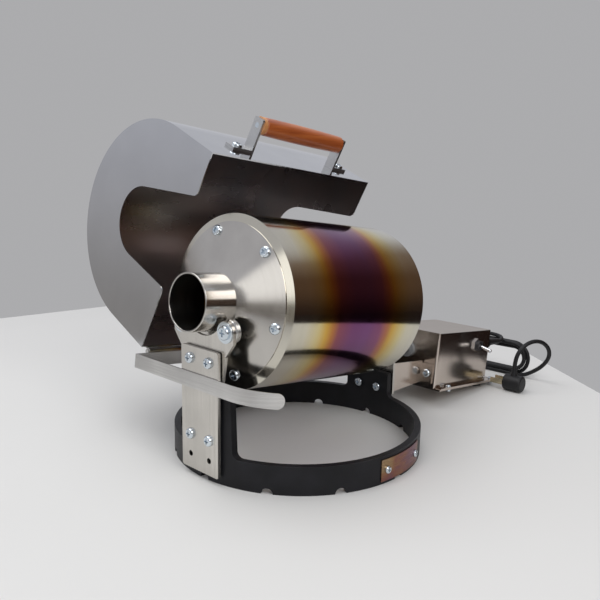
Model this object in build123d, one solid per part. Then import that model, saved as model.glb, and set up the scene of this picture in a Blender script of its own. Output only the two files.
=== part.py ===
from build123d import *
import math
import os

# Electric drum roaster: a tilted drum turned by a gearmotor, held by rollers at its neck and
# by a spindle behind, with a folded sheet hood hinged on the left and a ring stand round a
# burner. Millimetres, +Z up, origin on the table at the centre of the ring stand. +X is the
# right seen from the front, +Y is to the rear. The drum frame has the same X, its Y along
# the drum axis to the rear and its Z square to that axis.

# Fits
SEAT = 0.05          # gap between curved or leaning faces that sit on each other
RUN_GAP = 0.05       # radial clearance of a turning shaft
MOVING_GAP = 0.4     # least gap between faces that move past each other
HOLE_GAP = 0.25      # radial clearance of a screw in its hole

# Drum axis
AXIS_HEIGHT = 138.7
TILT = 6.8           # rear end down, degrees

# Ring stand
RING_RADIUS = 117.8
RING_WALL = 6
RING_HEIGHT = 25
RING_NOTCH_RADIUS = 5
RING_NOTCH_COUNT = 12
RING_NOTCH_ANGLE = -59
UPRIGHT_BASE_HALF = 32.5
UPRIGHT_TOP_HALF = 30
UPRIGHT_TOP = AXIS_HEIGHT - 54.7
UPRIGHT_FILLET = 6
REAR_TAB_HALF = 27
REAR_TAB_TOP = AXIS_HEIGHT - 88.7

# Posts and the plate that carries the neck rollers
POST_HALF_WIDTH = 23.5
POST_THICKNESS = 3
POST_BOTTOM = 6.5
POST_TOP = AXIS_HEIGHT - 24.2
POST_CORNER = 2
POST_SCREW_X = 12
POST_SCREW_LOW = 37.4
POST_SCREW_HIGH = POST_TOP - 10.3
SPARE_HOLE_X = 12
SPARE_HOLE_HEIGHT = 19.5
SPARE_HOLE_RADIUS = 2.5
SPACER_THICKNESS = 1
SPACER_RADIUS = 5
SADDLE_THICKNESS = 3
SADDLE_BOTTOM = POST_TOP - 28.5
SADDLE_FOOT_HALF = 23.75
SADDLE_WAIST_HALF = 28
SADDLE_WAIST_HEIGHT = POST_TOP - 3.5
SADDLE_SHOULDER_HEIGHT = POST_TOP + 9
SADDLE_LOBE_RADIUS = 9.3
SADDLE_DIP_GAP = 3.2
REAR_POST_BOTTOM = 26
REAR_SCREW_HEIGHT = 33

# Screws
M5_RADIUS = 2.5
M5_HEAD_RADIUS = 4.7
M5_HEAD_HEIGHT = 3
M5_NUT_FLATS = 8
M5_NUT_HEIGHT = 4
M4_RADIUS = 2
M4_HEAD_RADIUS = 4.8
M4_HEAD_HEIGHT = 2.8
M4_NUT_FLATS = 7
M4_NUT_HEIGHT = 3.2
M3_RADIUS = 1.5
M3_HEAD_RADIUS = 3.3
M3_HEAD_HEIGHT = 2.2
M3_NUT_FLATS = 5.5
M3_NUT_HEIGHT = 2.4
SCREW_PAST_NUT = 1
HEAD_ROUND = 0.7     # share of the head height that its rounded edge takes
RECESS_REACH = 0.5   # half length of a cross recess, as a share of the head radius
RECESS_WIDTH = 0.26  # width of each slot, as a share of the head radius
RECESS_DEPTH = 0.7   # share of the head height

# Drum
DRUM_RADIUS = 75
DRUM_WALL = 1
DRUM_FRONT = 30.4 - RING_RADIUS
DRUM_REAR = RING_RADIUS - 23.5
CONE_SLOPE = 0.276   # rise along the axis for each millimetre of radius
FLANGE_INNER_RADIUS = 54
COVER_RADIUS = 68
COVER_WALL = 1
CONE_SCREW_RADIUS = 61.7
CONE_SCREW_COUNT = 6
CONE_SCREW_ANGLE = 42
NECK_RADIUS = 24.3
NECK_WALL = 1.5
NECK_LIP_ROUND = 0.5
NECK_MOUTH = -RING_RADIUS - 16
NECK_INSIDE = 4
REAR_DISC_SET_IN = 10
VANE_COUNT = 3
VANE_HEIGHT = 18
VANE_THICKNESS = 1.2
VANE_FOOT = 8
VANE_END_GAP = 6
VANE_ANGLE = 42
HUB_FLANGE_RADIUS = 22
HUB_FLANGE_THICKNESS = 3
HUB_BOSS_RADIUS = 11
HUB_BOSS_LENGTH = 16
HUB_SCREW_COUNT = 4
HUB_SCREW_CIRCLE = 16
SPINDLE_RADIUS = 6
SPINDLE_NUT_HEIGHT = 5
SPINDLE_NUT_FLATS = 16

# Neck rollers
ROLLER_RADIUS = 10
ROLLER_GAP = 0.3     # between neck and roller
ROLLER_X = 28.5
ROLLER_LENGTH = 5
SLEEVE_RADIUS = 5
ROLLER_CHAMFER = 0.6
ROLLER_PIN_RADIUS = 3
ROLLER_HEAD_RADIUS = 6
ROLLER_HEAD_HEIGHT = 2.6
WASHER_RADIUS = 8.8
WASHER_THICKNESS = 1.2

# Rear bearing
BUSH_RADIUS = 10
BUSH_FRONT = RING_RADIUS - 5.8
BUSH_FLANGE_RADIUS = 12.5
BUSH_FLANGE_THICKNESS = 1.5
BLOCK_RADIUS = 19
BLOCK_REAR = RING_RADIUS + 9.2

# Gear train: the pinion below the spindle turns the gear
GEAR_MODULE = 1.5
GEAR_TEETH = 56
PINION_TEETH = 20
PRESSURE_ANGLE = 20
BACKLASH = 0.35
ROOT_GAP = 0.25      # share of the module left free at the root
FLANK_STEPS = 3
GEAR_FRONT = BLOCK_REAR + 7.5
GEAR_WIDTH = 7
GEAR_HUB_RADIUS = 11
GEAR_HUB_OUT = 4
GEAR_RIM = 8
GEAR_WEB = 3
GEAR_WINDOWS = 5
GEAR_WINDOW_SHARE = 0.32
MOTOR_SHAFT_RADIUS = 4
PINION_HUB_RADIUS = 8
PINION_HUB_LENGTH = 6

# Motor box, in the drum frame
BOX_HALF_WIDTH = 40
BOX_FRONT = RING_RADIUS + 75.2
BOX_LENGTH = 119
BOX_HEIGHT = 62.5
BOX_STAND = 4        # height of the base's rear edge above the table
BOX_WALL = 1.2
BOX_CORNER = 3
SKIRT_OUT = 7.2
SKIRT_REAR = 12
BASE_THICKNESS = 1.5
BASE_BOLT_IN = 24
FOOT_RADIUS = 6
FOOT_X_IN = 8
FOOT_IN = 9
GEARBOX_HALF_WIDTH = 28
GEARBOX_LENGTH = 34
GEARBOX_DROP = 7
MOTOR_CAN_RADIUS = 25
MOTOR_CAN_LENGTH = 30
OUTPUT_BOSS_RADIUS = 9
OUTPUT_BOSS_LENGTH = 4

# Bracket between the rear post and the motor box
BRACKET_HALF_WIDTH = 22
BRACKET_THICKNESS = 2
BRACKET_BOTTOM = 26
BRACKET_WEB_TOP = 44
BRACKET_SIDE_TOP_FRONT = 58
BRACKET_SIDE_TOP_REAR = 46
BRACKET_EAR_OUT = 14
BRACKET_EAR_TOP = 48
EAR_SCREW_X = 29
EAR_SCREW_HEIGHT = 37

# Toggle switch on the right wall of the box
SWITCH_IN = 35
SWITCH_DROP = 17
SWITCH_BODY_DEPTH = 20
SWITCH_BODY_WIDTH = 13
SWITCH_BODY_HEIGHT = 20
SWITCH_NECK_RADIUS = 5.8
SWITCH_NECK_LENGTH = 6.5
SWITCH_MOUTH_RADIUS = 2.9
SWITCH_NUT_FLATS = 14
SWITCH_NUT_HEIGHT = 2.2
LEVER_PIVOT_OUT = 4
LEVER_LENGTH = 17.5
LEVER_ROOT_RADIUS = 1.4
LEVER_TIP_RADIUS = 2.3
LEVER_BALL_RADIUS = 2.5
LEVER_SWING = 28     # degrees from off to on

# Hood frame: one bent band round the front, the left side and the rear
BAND_THICKNESS = 1.2
BAND_TOP = -60.5
BAND_HEIGHT = 12.8
BAND_LEFT = -90
BAND_STRAIGHT_END = 40
BAND_ARC_RADIUS = 47
BAND_ARC_SWEEP = 58
BAND_REAR_RIGHT = -6
BAND_END_ROUND = 6

# Hood, in its own closed frame: a across from the left corner, v up from the rim
HOOD_WIDTH = 195
HOOD_WALL_HEIGHT = 56.3
HOOD_SHEET = 1
HOOD_FRONT = 12.3 - RING_RADIUS
HOOD_REAR = RING_RADIUS - 9.8
HOOD_LEFT = -91.2    # closed place of the left corner
HOOD_RIM = -56.2
NOTCH_RADIUS = 33.8
NOTCH_RISE = 62
NOTCH_LEAN = 19.2    # lean of the right side of the notch, degrees
NOTCH_TIP_ROUND = 6
HOOD_OPEN = 66.4     # degrees from closed to the open rest

# Hood hinges: knuckles round a pin along the left rail
PIN_X = -93.7
PIN_HEIGHT = -60.2
PIN_RADIUS = 1.5
PIN_HEAD = 1
PIN_HEAD_RADIUS = 2.2
KNUCKLE_RADIUS = 3.2
LEAF_THICKNESS = 1.2
LEAF_LENGTH = 42
LEAF_MOVING_TOP = 17
LEAF_FIXED_DROP = 11
HINGE_ALONG = RING_RADIUS - 38.8
KNUCKLE_COUNT = 3
KNUCKLE_GAP = 0.4

# Handle on the right wall of the hood
GRIP_RADIUS = 8.2
GRIP_BULGE = 0.6
GRIP_EDGE = 1.2
GRIP_OUT = 25
GRIP_FRONT = -43
GRIP_REAR = 69
STRAP_HALF_WIDTH = 6
STRAP_THICKNESS = 2.5
STRAP_HEIGHT = 26
STRAP_FOOT_FRONT = 22
STRAP_FOOT_REAR = 18
STRAP_REACH = 32
STRAP_CORNER = 2
HANDLE_ROD_RADIUS = 2.5
COLLAR_LENGTH = 4

# Bare badge plate on the outside of the ring
BADGE_START = -10.2
BADGE_END = 19.3
BADGE_SCREWS = (-6.7, 15.4)
BADGE_BOTTOM = 2.5
BADGE_TOP = 22
BADGE_SCREW_HEIGHT = 12.2
BADGE_THICKNESS = 0.8
BADGE_HOLE_GAP = 0.2

# Mains lead
CORD_RADIUS = 2.5
BEND_SHARE = 0.45
RELIEF_X_IN = 7
RELIEF_DROP = 17
RELIEF_LENGTH = 34
RELIEF_ROOT_RADIUS = 5
RELIEF_END_RADIUS = 3.4
RELIEF_FLANGE_RADIUS = 7.5
RELIEF_FLANGE = 2
RELIEF_NECK_RADIUS = 4
RELIEF_INSIDE = 4
LEAD_EXIT_RUN = 11
PLUG_RADIUS = 10
PLUG_EDGE = 2.5
PLUG_OUT = 25        # from the side of the box to the plug
PLUG_LENGTH = 23
PLUG_IN = 11         # from the rear of the box to the middle of the plug
PLUG_BOOT_IN = 11
PLUG_BOOT_TOP = 26
PLUG_BOOT_RUN = 13.5
PLUG_BOOT_ROOT = 5.4
PLUG_BOOT_END = 3.4
BLADE_LENGTH = 16
BLADE_HEIGHT = 6.3
BLADE_THICKNESS = 1.5
BLADE_SPACING = 12.7
HANK_BEHIND = 56     # from the rear of the box to the rear layer
HANK_HALF = 42
HANK_START_X = -6
HANK_RUN_IN = 20
HANK_RADIUS = 23
HANK_FOLDS = 4
HANK_PITCH = 5.6
HANK_LAYER_PITCH = 5.7
GAP_NEIGHBOURS = 8   # points along a lead that don't count as another turn

# Route point between the box and the hank, from the end of the strain relief
BOX_TURN = (-6, 23.4, 0.5)
# Route points between the hank and the plug, from the lower right end of the front layer
PLUG_ROUTE = (
    (17, 0, 0),
    (31.3, -0.9, 8.6),
    (43.9, -3.1, 19.1),
    (53, -6.6, 32.6),
    (55, -15.1, 46.6),
    (50.6, -27.3, 56.4),
    (44.2, -42, 58),
    (37.9, -54.7, 50.9),
)

# Derived sizes
RING_INNER = RING_RADIUS - RING_WALL
M5_NUT_REACH = M5_NUT_FLATS / math.sqrt(3)
POST_BACK = -(RING_RADIUS + SEAT)
POST_FACE = POST_BACK - POST_THICKNESS
SADDLE_FACE = POST_BACK + SPACER_THICKNESS
SADDLE_BACK = SADDLE_FACE + SADDLE_THICKNESS
REAR_POST_FACE = RING_RADIUS + SEAT
REAR_POST_BACK = REAR_POST_FACE + POST_THICKNESS
BAND_BOTTOM = BAND_TOP - BAND_HEIGHT
ROLLER_FRONT = SADDLE_BACK + MOVING_GAP
ROLLER_REAR = ROLLER_FRONT + ROLLER_LENGTH
ROLLER_DROP = math.sqrt((NECK_RADIUS + ROLLER_RADIUS + ROLLER_GAP) ** 2 - ROLLER_X ** 2)
ROLLER_HEIGHT = AXIS_HEIGHT - ROLLER_REAR * math.tan(math.radians(TILT)) - ROLLER_DROP
DISC_FACE = DRUM_REAR - REAR_DISC_SET_IN
GEAR_SPACING = GEAR_MODULE * (GEAR_TEETH + PINION_TEETH) / 2
GEAR_BACK = GEAR_FRONT + GEAR_WIDTH
BUSH_REAR = BLOCK_REAR + BUSH_FLANGE_THICKNESS
TILT_COS = math.cos(math.radians(TILT))
TILT_SIN = math.sin(math.radians(TILT))
BOX_REAR = BOX_FRONT + BOX_LENGTH
BASE_END = BOX_REAR + SKIRT_REAR
BASE_UNDER = (BOX_STAND - AXIS_HEIGHT + BASE_END * TILT_SIN) / TILT_COS
BOX_BOTTOM = BASE_UNDER + BASE_THICKNESS
BOX_TOP = BOX_BOTTOM + BOX_HEIGHT
GEARBOX_TOP = BOX_TOP - GEARBOX_DROP
MOTOR_HEIGHT = (GEARBOX_TOP + BOX_BOTTOM) / 2
SWITCH_ALONG = BOX_REAR - SWITCH_IN
SWITCH_HEIGHT = BOX_TOP - SWITCH_DROP
RELIEF_X = BOX_HALF_WIDTH - RELIEF_X_IN
RELIEF_HEIGHT = BOX_TOP - RELIEF_DROP
HANK_REAR_Y = BOX_REAR + HANK_BEHIND
HANK_FRONT_Y = HANK_REAR_Y - HANK_LAYER_PITCH
HANK_TOP = 2 * HANK_RADIUS + CORD_RADIUS
PLUG_LEFT = BOX_HALF_WIDTH + PLUG_OUT
PLUG_BOOT_X = PLUG_LEFT + PLUG_BOOT_IN
PLUG_Y = BOX_REAR - PLUG_IN

DRUM = Pos(0, 0, AXIS_HEIGHT) * Rot(-TILT, 0, 0)
HOOD_CLOSED = Pos(HOOD_LEFT - PIN_X, 0, HOOD_RIM - PIN_HEIGHT)
HOOD = DRUM * Pos(PIN_X, 0, PIN_HEIGHT) * Rot(0, -HOOD_OPEN, 0) * HOOD_CLOSED


def drum_point(x, along, height):
    """A point of the drum frame in the part's frame."""
    return Vector(
        x,
        along * TILT_COS + height * TILT_SIN,
        AXIS_HEIGHT - along * TILT_SIN + height * TILT_COS,
    )


def block(x0, x1, y0, y1, z0, z1):
    centre = Pos((x0 + x1) / 2, (y0 + y1) / 2, (z0 + z1) / 2)
    return centre * Box(abs(x1 - x0), abs(y1 - y0), abs(z1 - z0))


def rod_y(radius, y0, y1, x=0, z=0):
    """A round bar along Y."""
    return Pos(x, (y0 + y1) / 2, z) * Rot(-90, 0, 0) * Cylinder(radius, y1 - y0)


def rod_x(radius, x0, x1, y=0, z=0):
    """A round bar along X."""
    return Pos((x0 + x1) / 2, y, z) * Rot(0, 90, 0) * Cylinder(radius, x1 - x0)


def slab_y(sketch, y0, y1):
    """A profile drawn in X and Z, as thick as y0 to y1."""
    plane = Plane(origin=(0, y1, 0), x_dir=(1, 0, 0), z_dir=(0, -1, 0))
    return extrude(plane * sketch, amount=y1 - y0)


def turned(points):
    """A profile of radius and place along Y, turned round Y."""
    return revolve(Polygon(*points, align=None), axis=Axis.Y)


def hex_nut(flats, height, bore):
    """A nut standing on the XY plane."""
    body = extrude(RegularPolygon(flats / 2, 6, major_radius=False), amount=height)
    return body - Pos(0, 0, height / 2) * Cylinder(bore, height)


def pan_screw(radius, length, head_radius, head_height):
    """A cross-recessed screw whose head stands on the XY plane and whose shank goes down."""
    head = Pos(0, 0, head_height / 2) * Cylinder(head_radius, head_height)
    head = fillet(head.edges().group_by(Axis.Z)[-1], head_height * HEAD_ROUND)
    reach = 2 * head_radius * RECESS_REACH
    width = head_radius * RECESS_WIDTH
    cross = Rectangle(reach, width) + Rectangle(width, reach)
    floor = head_height * (1 - RECESS_DEPTH)
    head -= Pos(0, 0, floor) * extrude(cross, amount=head_height)
    return head + Pos(0, 0, -length / 2) * Cylinder(radius, length)


# Turned so that a screw's head faces the front, the rear or the right
FACE_FRONT = Rot(90, 0, 0)
FACE_REAR = Rot(-90, 0, 0)
FACE_RIGHT = Rot(0, 90, 0)


def inner_corners(profile, reach):
    """Where an upright meets the top of the ring band."""
    return [
        v for v in profile.vertices()
        if abs(v.Y - RING_HEIGHT) < SEAT and abs(v.X) < reach - SEAT
    ]


def ring_stand():
    """The burner ring with its notched lower edge, front upright and rear tab."""
    tube = Cylinder(RING_RADIUS, UPRIGHT_TOP, align=(Align.CENTER, Align.CENTER, Align.MIN))
    tube -= Cylinder(RING_INNER, UPRIGHT_TOP, align=(Align.CENTER, Align.CENTER, Align.MIN))
    reach = RING_RADIUS + RING_WALL
    band = Pos(0, RING_HEIGHT / 2) * Rectangle(2 * reach, RING_HEIGHT)
    front = band + Polygon(
        (-UPRIGHT_BASE_HALF, 0),
        (UPRIGHT_BASE_HALF, 0),
        (UPRIGHT_BASE_HALF, RING_HEIGHT),
        (UPRIGHT_TOP_HALF, UPRIGHT_TOP),
        (-UPRIGHT_TOP_HALF, UPRIGHT_TOP),
        (-UPRIGHT_BASE_HALF, RING_HEIGHT),
        align=None,
    )
    front = fillet(inner_corners(front, reach), UPRIGHT_FILLET)
    rear = band + Pos(0, REAR_TAB_TOP / 2) * Rectangle(2 * REAR_TAB_HALF, REAR_TAB_TOP)
    rear = fillet(inner_corners(rear, reach), UPRIGHT_FILLET)
    ring = tube & (slab_y(front, -reach, 0) + slab_y(rear, 0, reach))
    for i in range(RING_NOTCH_COUNT):
        angle = RING_NOTCH_ANGLE + i * 360 / RING_NOTCH_COUNT
        ring -= Rot(0, 0, angle) * rod_x(RING_NOTCH_RADIUS, RING_INNER - RING_WALL, reach)
    for x in (-POST_SCREW_X, POST_SCREW_X):
        ring -= rod_y(M5_RADIUS + HOLE_GAP, -reach, 0, x, POST_SCREW_LOW)
        ring -= rod_y(M5_RADIUS + HOLE_GAP, 0, reach, x, REAR_SCREW_HEIGHT)
    for x in (-SPARE_HOLE_X, SPARE_HOLE_X):
        ring -= rod_y(SPARE_HOLE_RADIUS, -reach, 0, x, SPARE_HOLE_HEIGHT)
    for angle in BADGE_SCREWS:
        hole = rod_x(M3_RADIUS + HOLE_GAP, RING_INNER - RING_WALL, reach, 0, BADGE_SCREW_HEIGHT)
        ring -= Rot(0, 0, angle) * hole
    return ring


def badge_plate():
    """A thin bare plate bent round the outside of the ring."""
    low = RING_RADIUS + SEAT
    centre = (BADGE_BOTTOM + BADGE_TOP) / 2
    tube = Pos(0, 0, centre) * Cylinder(low + BADGE_THICKNESS, BADGE_TOP - BADGE_BOTTOM)
    tube -= Pos(0, 0, centre) * Cylinder(low, BADGE_TOP)
    reach = 2 * RING_RADIUS
    wedge = extrude(
        Polygon(
            (0, 0),
            (reach * math.cos(math.radians(BADGE_START)), reach * math.sin(math.radians(BADGE_START))),
            (reach * math.cos(math.radians(BADGE_END)), reach * math.sin(math.radians(BADGE_END))),
            align=None,
        ),
        amount=RING_HEIGHT,
    )
    plate = tube & wedge
    for angle in BADGE_SCREWS:
        hole = rod_x(M3_RADIUS + BADGE_HOLE_GAP, RING_INNER, reach, 0, BADGE_SCREW_HEIGHT)
        plate -= Rot(0, 0, angle) * hole
    return plate


def badge_screws():
    seat = RING_RADIUS + 2 * SEAT + BADGE_THICKNESS
    screw = pan_screw(M3_RADIUS, seat - RING_INNER, M3_HEAD_RADIUS, M3_HEAD_HEIGHT)
    place = Pos(seat, 0, BADGE_SCREW_HEIGHT) * FACE_RIGHT
    return [Rot(0, 0, angle) * place * screw for angle in BADGE_SCREWS]


def front_post():
    """The upright stainless plate on the front of the ring."""
    outline = Pos(0, (POST_BOTTOM + POST_TOP) / 2) * RectangleRounded(
        2 * POST_HALF_WIDTH, POST_TOP - POST_BOTTOM, POST_CORNER
    )
    for x in (-POST_SCREW_X, POST_SCREW_X):
        for z in (POST_SCREW_LOW, POST_SCREW_HIGH):
            outline -= Pos(x, z) * Circle(M5_RADIUS + HOLE_GAP)
    for x in (-SPARE_HOLE_X, SPARE_HOLE_X):
        outline -= Pos(x, SPARE_HOLE_HEIGHT) * Circle(SPARE_HOLE_RADIUS)
    return slab_y(outline, POST_FACE, POST_BACK)


def ring_seat(reach):
    """How far out a flat face of that half width meets the inside of the ring."""
    return math.sqrt(RING_INNER ** 2 - (POST_SCREW_X + reach) ** 2) - SEAT


def front_post_screws():
    low_length = -POST_FACE - ring_seat(M5_NUT_REACH) + M5_NUT_HEIGHT + SCREW_PAST_NUT
    high_length = SADDLE_BACK - POST_FACE + M5_NUT_HEIGHT + SCREW_PAST_NUT
    low = pan_screw(M5_RADIUS, low_length, M5_HEAD_RADIUS, M5_HEAD_HEIGHT)
    high = pan_screw(M5_RADIUS, high_length, M5_HEAD_RADIUS, M5_HEAD_HEIGHT)
    screws = []
    for x in (-POST_SCREW_X, POST_SCREW_X):
        screws.append(Pos(x, POST_FACE, POST_SCREW_LOW) * FACE_FRONT * low)
        screws.append(Pos(x, POST_FACE, POST_SCREW_HIGH) * FACE_FRONT * high)
    return screws


def front_post_nuts():
    nut = hex_nut(M5_NUT_FLATS, M5_NUT_HEIGHT, M5_RADIUS + SEAT)
    nuts = []
    for x in (-POST_SCREW_X, POST_SCREW_X):
        nuts.append(Pos(x, -ring_seat(M5_NUT_REACH), POST_SCREW_LOW) * FACE_REAR * nut)
        nuts.append(Pos(x, SADDLE_BACK, POST_SCREW_HIGH) * FACE_REAR * nut)
    return nuts


def saddle_spacers():
    """Washers that hold the saddle plate off the front post."""
    washers = []
    for x in (-POST_SCREW_X, POST_SCREW_X):
        washer = rod_y(SPACER_RADIUS, POST_BACK, SADDLE_FACE, x, POST_SCREW_HIGH)
        washer -= rod_y(M5_RADIUS + HOLE_GAP, POST_BACK, SADDLE_FACE, x, POST_SCREW_HIGH)
        washers.append(washer)
    return washers


def neck_height():
    """Height of the drum axis above the table, at the saddle plate."""
    middle = (SADDLE_FACE + SADDLE_BACK) / 2
    return AXIS_HEIGHT - middle * math.tan(math.radians(TILT))


def roller_saddle():
    """The forked plate that carries the two neck rollers."""
    shoulder = ROLLER_X + SADDLE_LOBE_RADIUS
    outline = Polygon(
        (-SADDLE_FOOT_HALF, SADDLE_BOTTOM),
        (SADDLE_FOOT_HALF, SADDLE_BOTTOM),
        (SADDLE_WAIST_HALF, SADDLE_WAIST_HEIGHT),
        (shoulder, SADDLE_SHOULDER_HEIGHT),
        (shoulder, ROLLER_HEIGHT),
        (-shoulder, ROLLER_HEIGHT),
        (-shoulder, SADDLE_SHOULDER_HEIGHT),
        (-SADDLE_WAIST_HALF, SADDLE_WAIST_HEIGHT),
        align=None,
    )
    for x in (-ROLLER_X, ROLLER_X):
        outline += Pos(x, ROLLER_HEIGHT) * Circle(SADDLE_LOBE_RADIUS)
    outline -= Pos(0, neck_height()) * Circle(NECK_RADIUS + SADDLE_DIP_GAP)
    plate = slab_y(outline, SADDLE_FACE, SADDLE_BACK)
    for x in (-POST_SCREW_X, POST_SCREW_X):
        plate -= rod_y(M5_RADIUS + HOLE_GAP, SADDLE_FACE, SADDLE_BACK, x, POST_SCREW_HIGH)
    for x in (-ROLLER_X, ROLLER_X):
        plate -= rod_y(ROLLER_PIN_RADIUS + HOLE_GAP, SADDLE_FACE, SADDLE_BACK, x, ROLLER_HEIGHT)
    return plate


def roller(side):
    """The outer race of a neck roller, square to the saddle plate."""
    ring = rod_y(ROLLER_RADIUS, ROLLER_FRONT, ROLLER_REAR)
    ring = chamfer(ring.edges(), ROLLER_CHAMFER)
    ring -= rod_y(SLEEVE_RADIUS + RUN_GAP, ROLLER_FRONT, ROLLER_REAR)
    return Pos(side * ROLLER_X, 0, ROLLER_HEIGHT) * ring


def roller_sleeves():
    """The inner races, against the saddle plate and tight on the roller screws."""
    sleeves = []
    for x in (-ROLLER_X, ROLLER_X):
        sleeve = rod_y(SLEEVE_RADIUS, SADDLE_BACK, ROLLER_REAR, x, ROLLER_HEIGHT)
        sleeve -= rod_y(ROLLER_PIN_RADIUS + SEAT, SADDLE_BACK, ROLLER_REAR, x, ROLLER_HEIGHT)
        sleeves.append(sleeve)
    return sleeves


def roller_screws():
    """Screws with a washer under the head, through the saddle into the rollers."""
    seat = SADDLE_FACE - WASHER_THICKNESS
    screw = pan_screw(ROLLER_PIN_RADIUS, ROLLER_REAR - seat, ROLLER_HEAD_RADIUS, ROLLER_HEAD_HEIGHT)
    screw += Pos(0, 0, -WASHER_THICKNESS / 2) * Cylinder(WASHER_RADIUS, WASHER_THICKNESS)
    return [Pos(x, seat, ROLLER_HEIGHT) * FACE_FRONT * screw for x in (-ROLLER_X, ROLLER_X)]


def hood_frame():
    """The band that the hood is hinged on and closes over."""
    front_out = (POST_FACE - BAND_TOP * TILT_SIN) / TILT_COS - SEAT
    front_in = front_out - BAND_THICKNESS
    rear_in = (REAR_POST_FACE - BAND_TOP * TILT_SIN) / TILT_COS - SEAT
    front = block(BAND_LEFT, BAND_STRAIGHT_END, front_in, front_out, BAND_BOTTOM, BAND_TOP)
    side = block(BAND_LEFT, BAND_LEFT + BAND_THICKNESS, front_in, rear_in, BAND_BOTTOM, BAND_TOP)
    rear = block(BAND_LEFT, BAND_REAR_RIGHT, rear_in - BAND_THICKNESS, rear_in, BAND_BOTTOM, BAND_TOP)
    arc = CenterArc((0, 0), BAND_ARC_RADIUS - BAND_THICKNESS / 2, -90, BAND_ARC_SWEEP)
    start = Plane(origin=arc @ 0, x_dir=(0, 1, 0), z_dir=(1, 0, 0))
    hook = sweep(start * Rectangle(BAND_THICKNESS, BAND_HEIGHT), path=arc)
    tip = (arc @ 1).X
    ends = [
        e for e in hook.edges()
        if abs(e.length - BAND_THICKNESS) < SEAT and abs(e.center().X - tip) < BAND_THICKNESS
    ]
    hook = fillet(ends, BAND_END_ROUND)
    middle = (BAND_TOP + BAND_BOTTOM) / 2
    hook = Pos(BAND_STRAIGHT_END, front_in + BAND_ARC_RADIUS, middle) * hook
    return DRUM * (front + side + rear + hook)


def knuckle_spans():
    """Start and end of each knuckle along a hinge, fixed and moving in turn."""
    step = LEAF_LENGTH / KNUCKLE_COUNT
    spans = []
    for centre in (-HINGE_ALONG, HINGE_ALONG):
        start = centre - LEAF_LENGTH / 2
        for i in range(KNUCKLE_COUNT):
            low = start + i * step + KNUCKLE_GAP / 2
            spans.append((low, low + step - KNUCKLE_GAP, i % 2 == 0))
    return spans


def hinge_leaves_fixed():
    """The hinge leaves on the outside of the left rail."""
    leaves = []
    clear = PIN_HEIGHT - KNUCKLE_RADIUS - MOVING_GAP
    low = PIN_HEIGHT - LEAF_FIXED_DROP
    out = BAND_LEFT - LEAF_THICKNESS
    for centre in (-HINGE_ALONG, HINGE_ALONG):
        start = centre - LEAF_LENGTH / 2
        end = centre + LEAF_LENGTH / 2
        leaf = block(out, BAND_LEFT, start, end, low, clear)
        for y0, y1, fixed in knuckle_spans():
            if fixed and start < y0 < end:
                leaf += block(out, BAND_LEFT, y0, y1, clear, PIN_HEIGHT)
                leaf += rod_y(KNUCKLE_RADIUS, y0, y1, PIN_X, PIN_HEIGHT)
        leaf -= rod_y(PIN_RADIUS + RUN_GAP, start, end, PIN_X, PIN_HEIGHT)
        leaves.append(DRUM * leaf)
    return leaves


def hinge_leaves_moving():
    """The hinge leaves on the outside of the hood's left wall, in the hood's frame."""
    leaves = []
    pin_a = PIN_X - HOOD_LEFT
    pin_v = PIN_HEIGHT - HOOD_RIM
    clear = pin_v + KNUCKLE_RADIUS + MOVING_GAP
    for centre in (-HINGE_ALONG, HINGE_ALONG):
        start = centre - LEAF_LENGTH / 2
        end = centre + LEAF_LENGTH / 2
        leaf = block(-LEAF_THICKNESS, 0, start, end, clear, LEAF_MOVING_TOP)
        for y0, y1, fixed in knuckle_spans():
            if not fixed and start < y0 < end:
                leaf += block(-LEAF_THICKNESS, 0, y0, y1, pin_v, clear)
                leaf += rod_y(KNUCKLE_RADIUS, y0, y1, pin_a, pin_v)
        leaf -= rod_y(PIN_RADIUS + RUN_GAP, start, end, pin_a, pin_v)
        leaves.append(HOOD * leaf)
    return leaves


def hinge_pins():
    """Pins with a small head at each end."""
    pins = []
    for centre in (-HINGE_ALONG, HINGE_ALONG):
        start = centre - LEAF_LENGTH / 2
        end = centre + LEAF_LENGTH / 2
        pin = rod_y(PIN_RADIUS, start, end, PIN_X, PIN_HEIGHT)
        pin += rod_y(PIN_HEAD_RADIUS, start - PIN_HEAD, start, PIN_X, PIN_HEIGHT)
        pin += rod_y(PIN_HEAD_RADIUS, end, end + PIN_HEAD, PIN_X, PIN_HEIGHT)
        pins.append(DRUM * pin)
    return pins


def arch(inset):
    """The hood's outline, smaller all round by the inset."""
    radius = HOOD_WIDTH / 2 - inset
    centre = HOOD_WIDTH / 2
    round_top = Pos(centre, HOOD_WALL_HEIGHT) * Circle(radius)
    round_top -= Pos(centre, HOOD_WALL_HEIGHT - radius) * Rectangle(3 * radius, 2 * radius)
    walls = Pos(centre, HOOD_WALL_HEIGHT / 2) * Rectangle(2 * radius, HOOD_WALL_HEIGHT)
    return walls + round_top


def hood_shell():
    """The bent sheet of the hood, without its two end plates."""
    sheet = arch(0) - arch(HOOD_SHEET)
    sheet -= Pos(HOOD_WIDTH / 2, 0) * Rectangle(HOOD_WIDTH - 2 * HOOD_SHEET, HOOD_SHEET)
    shell = slab_y(sheet, HOOD_FRONT + HOOD_SHEET, HOOD_REAR - HOOD_SHEET)
    for along in strap_screw_places():
        shell -= rod_x(M4_RADIUS + HOLE_GAP, HOOD_WIDTH / 2, HOOD_WIDTH, along, STRAP_HEIGHT)
    return HOOD * shell


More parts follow.
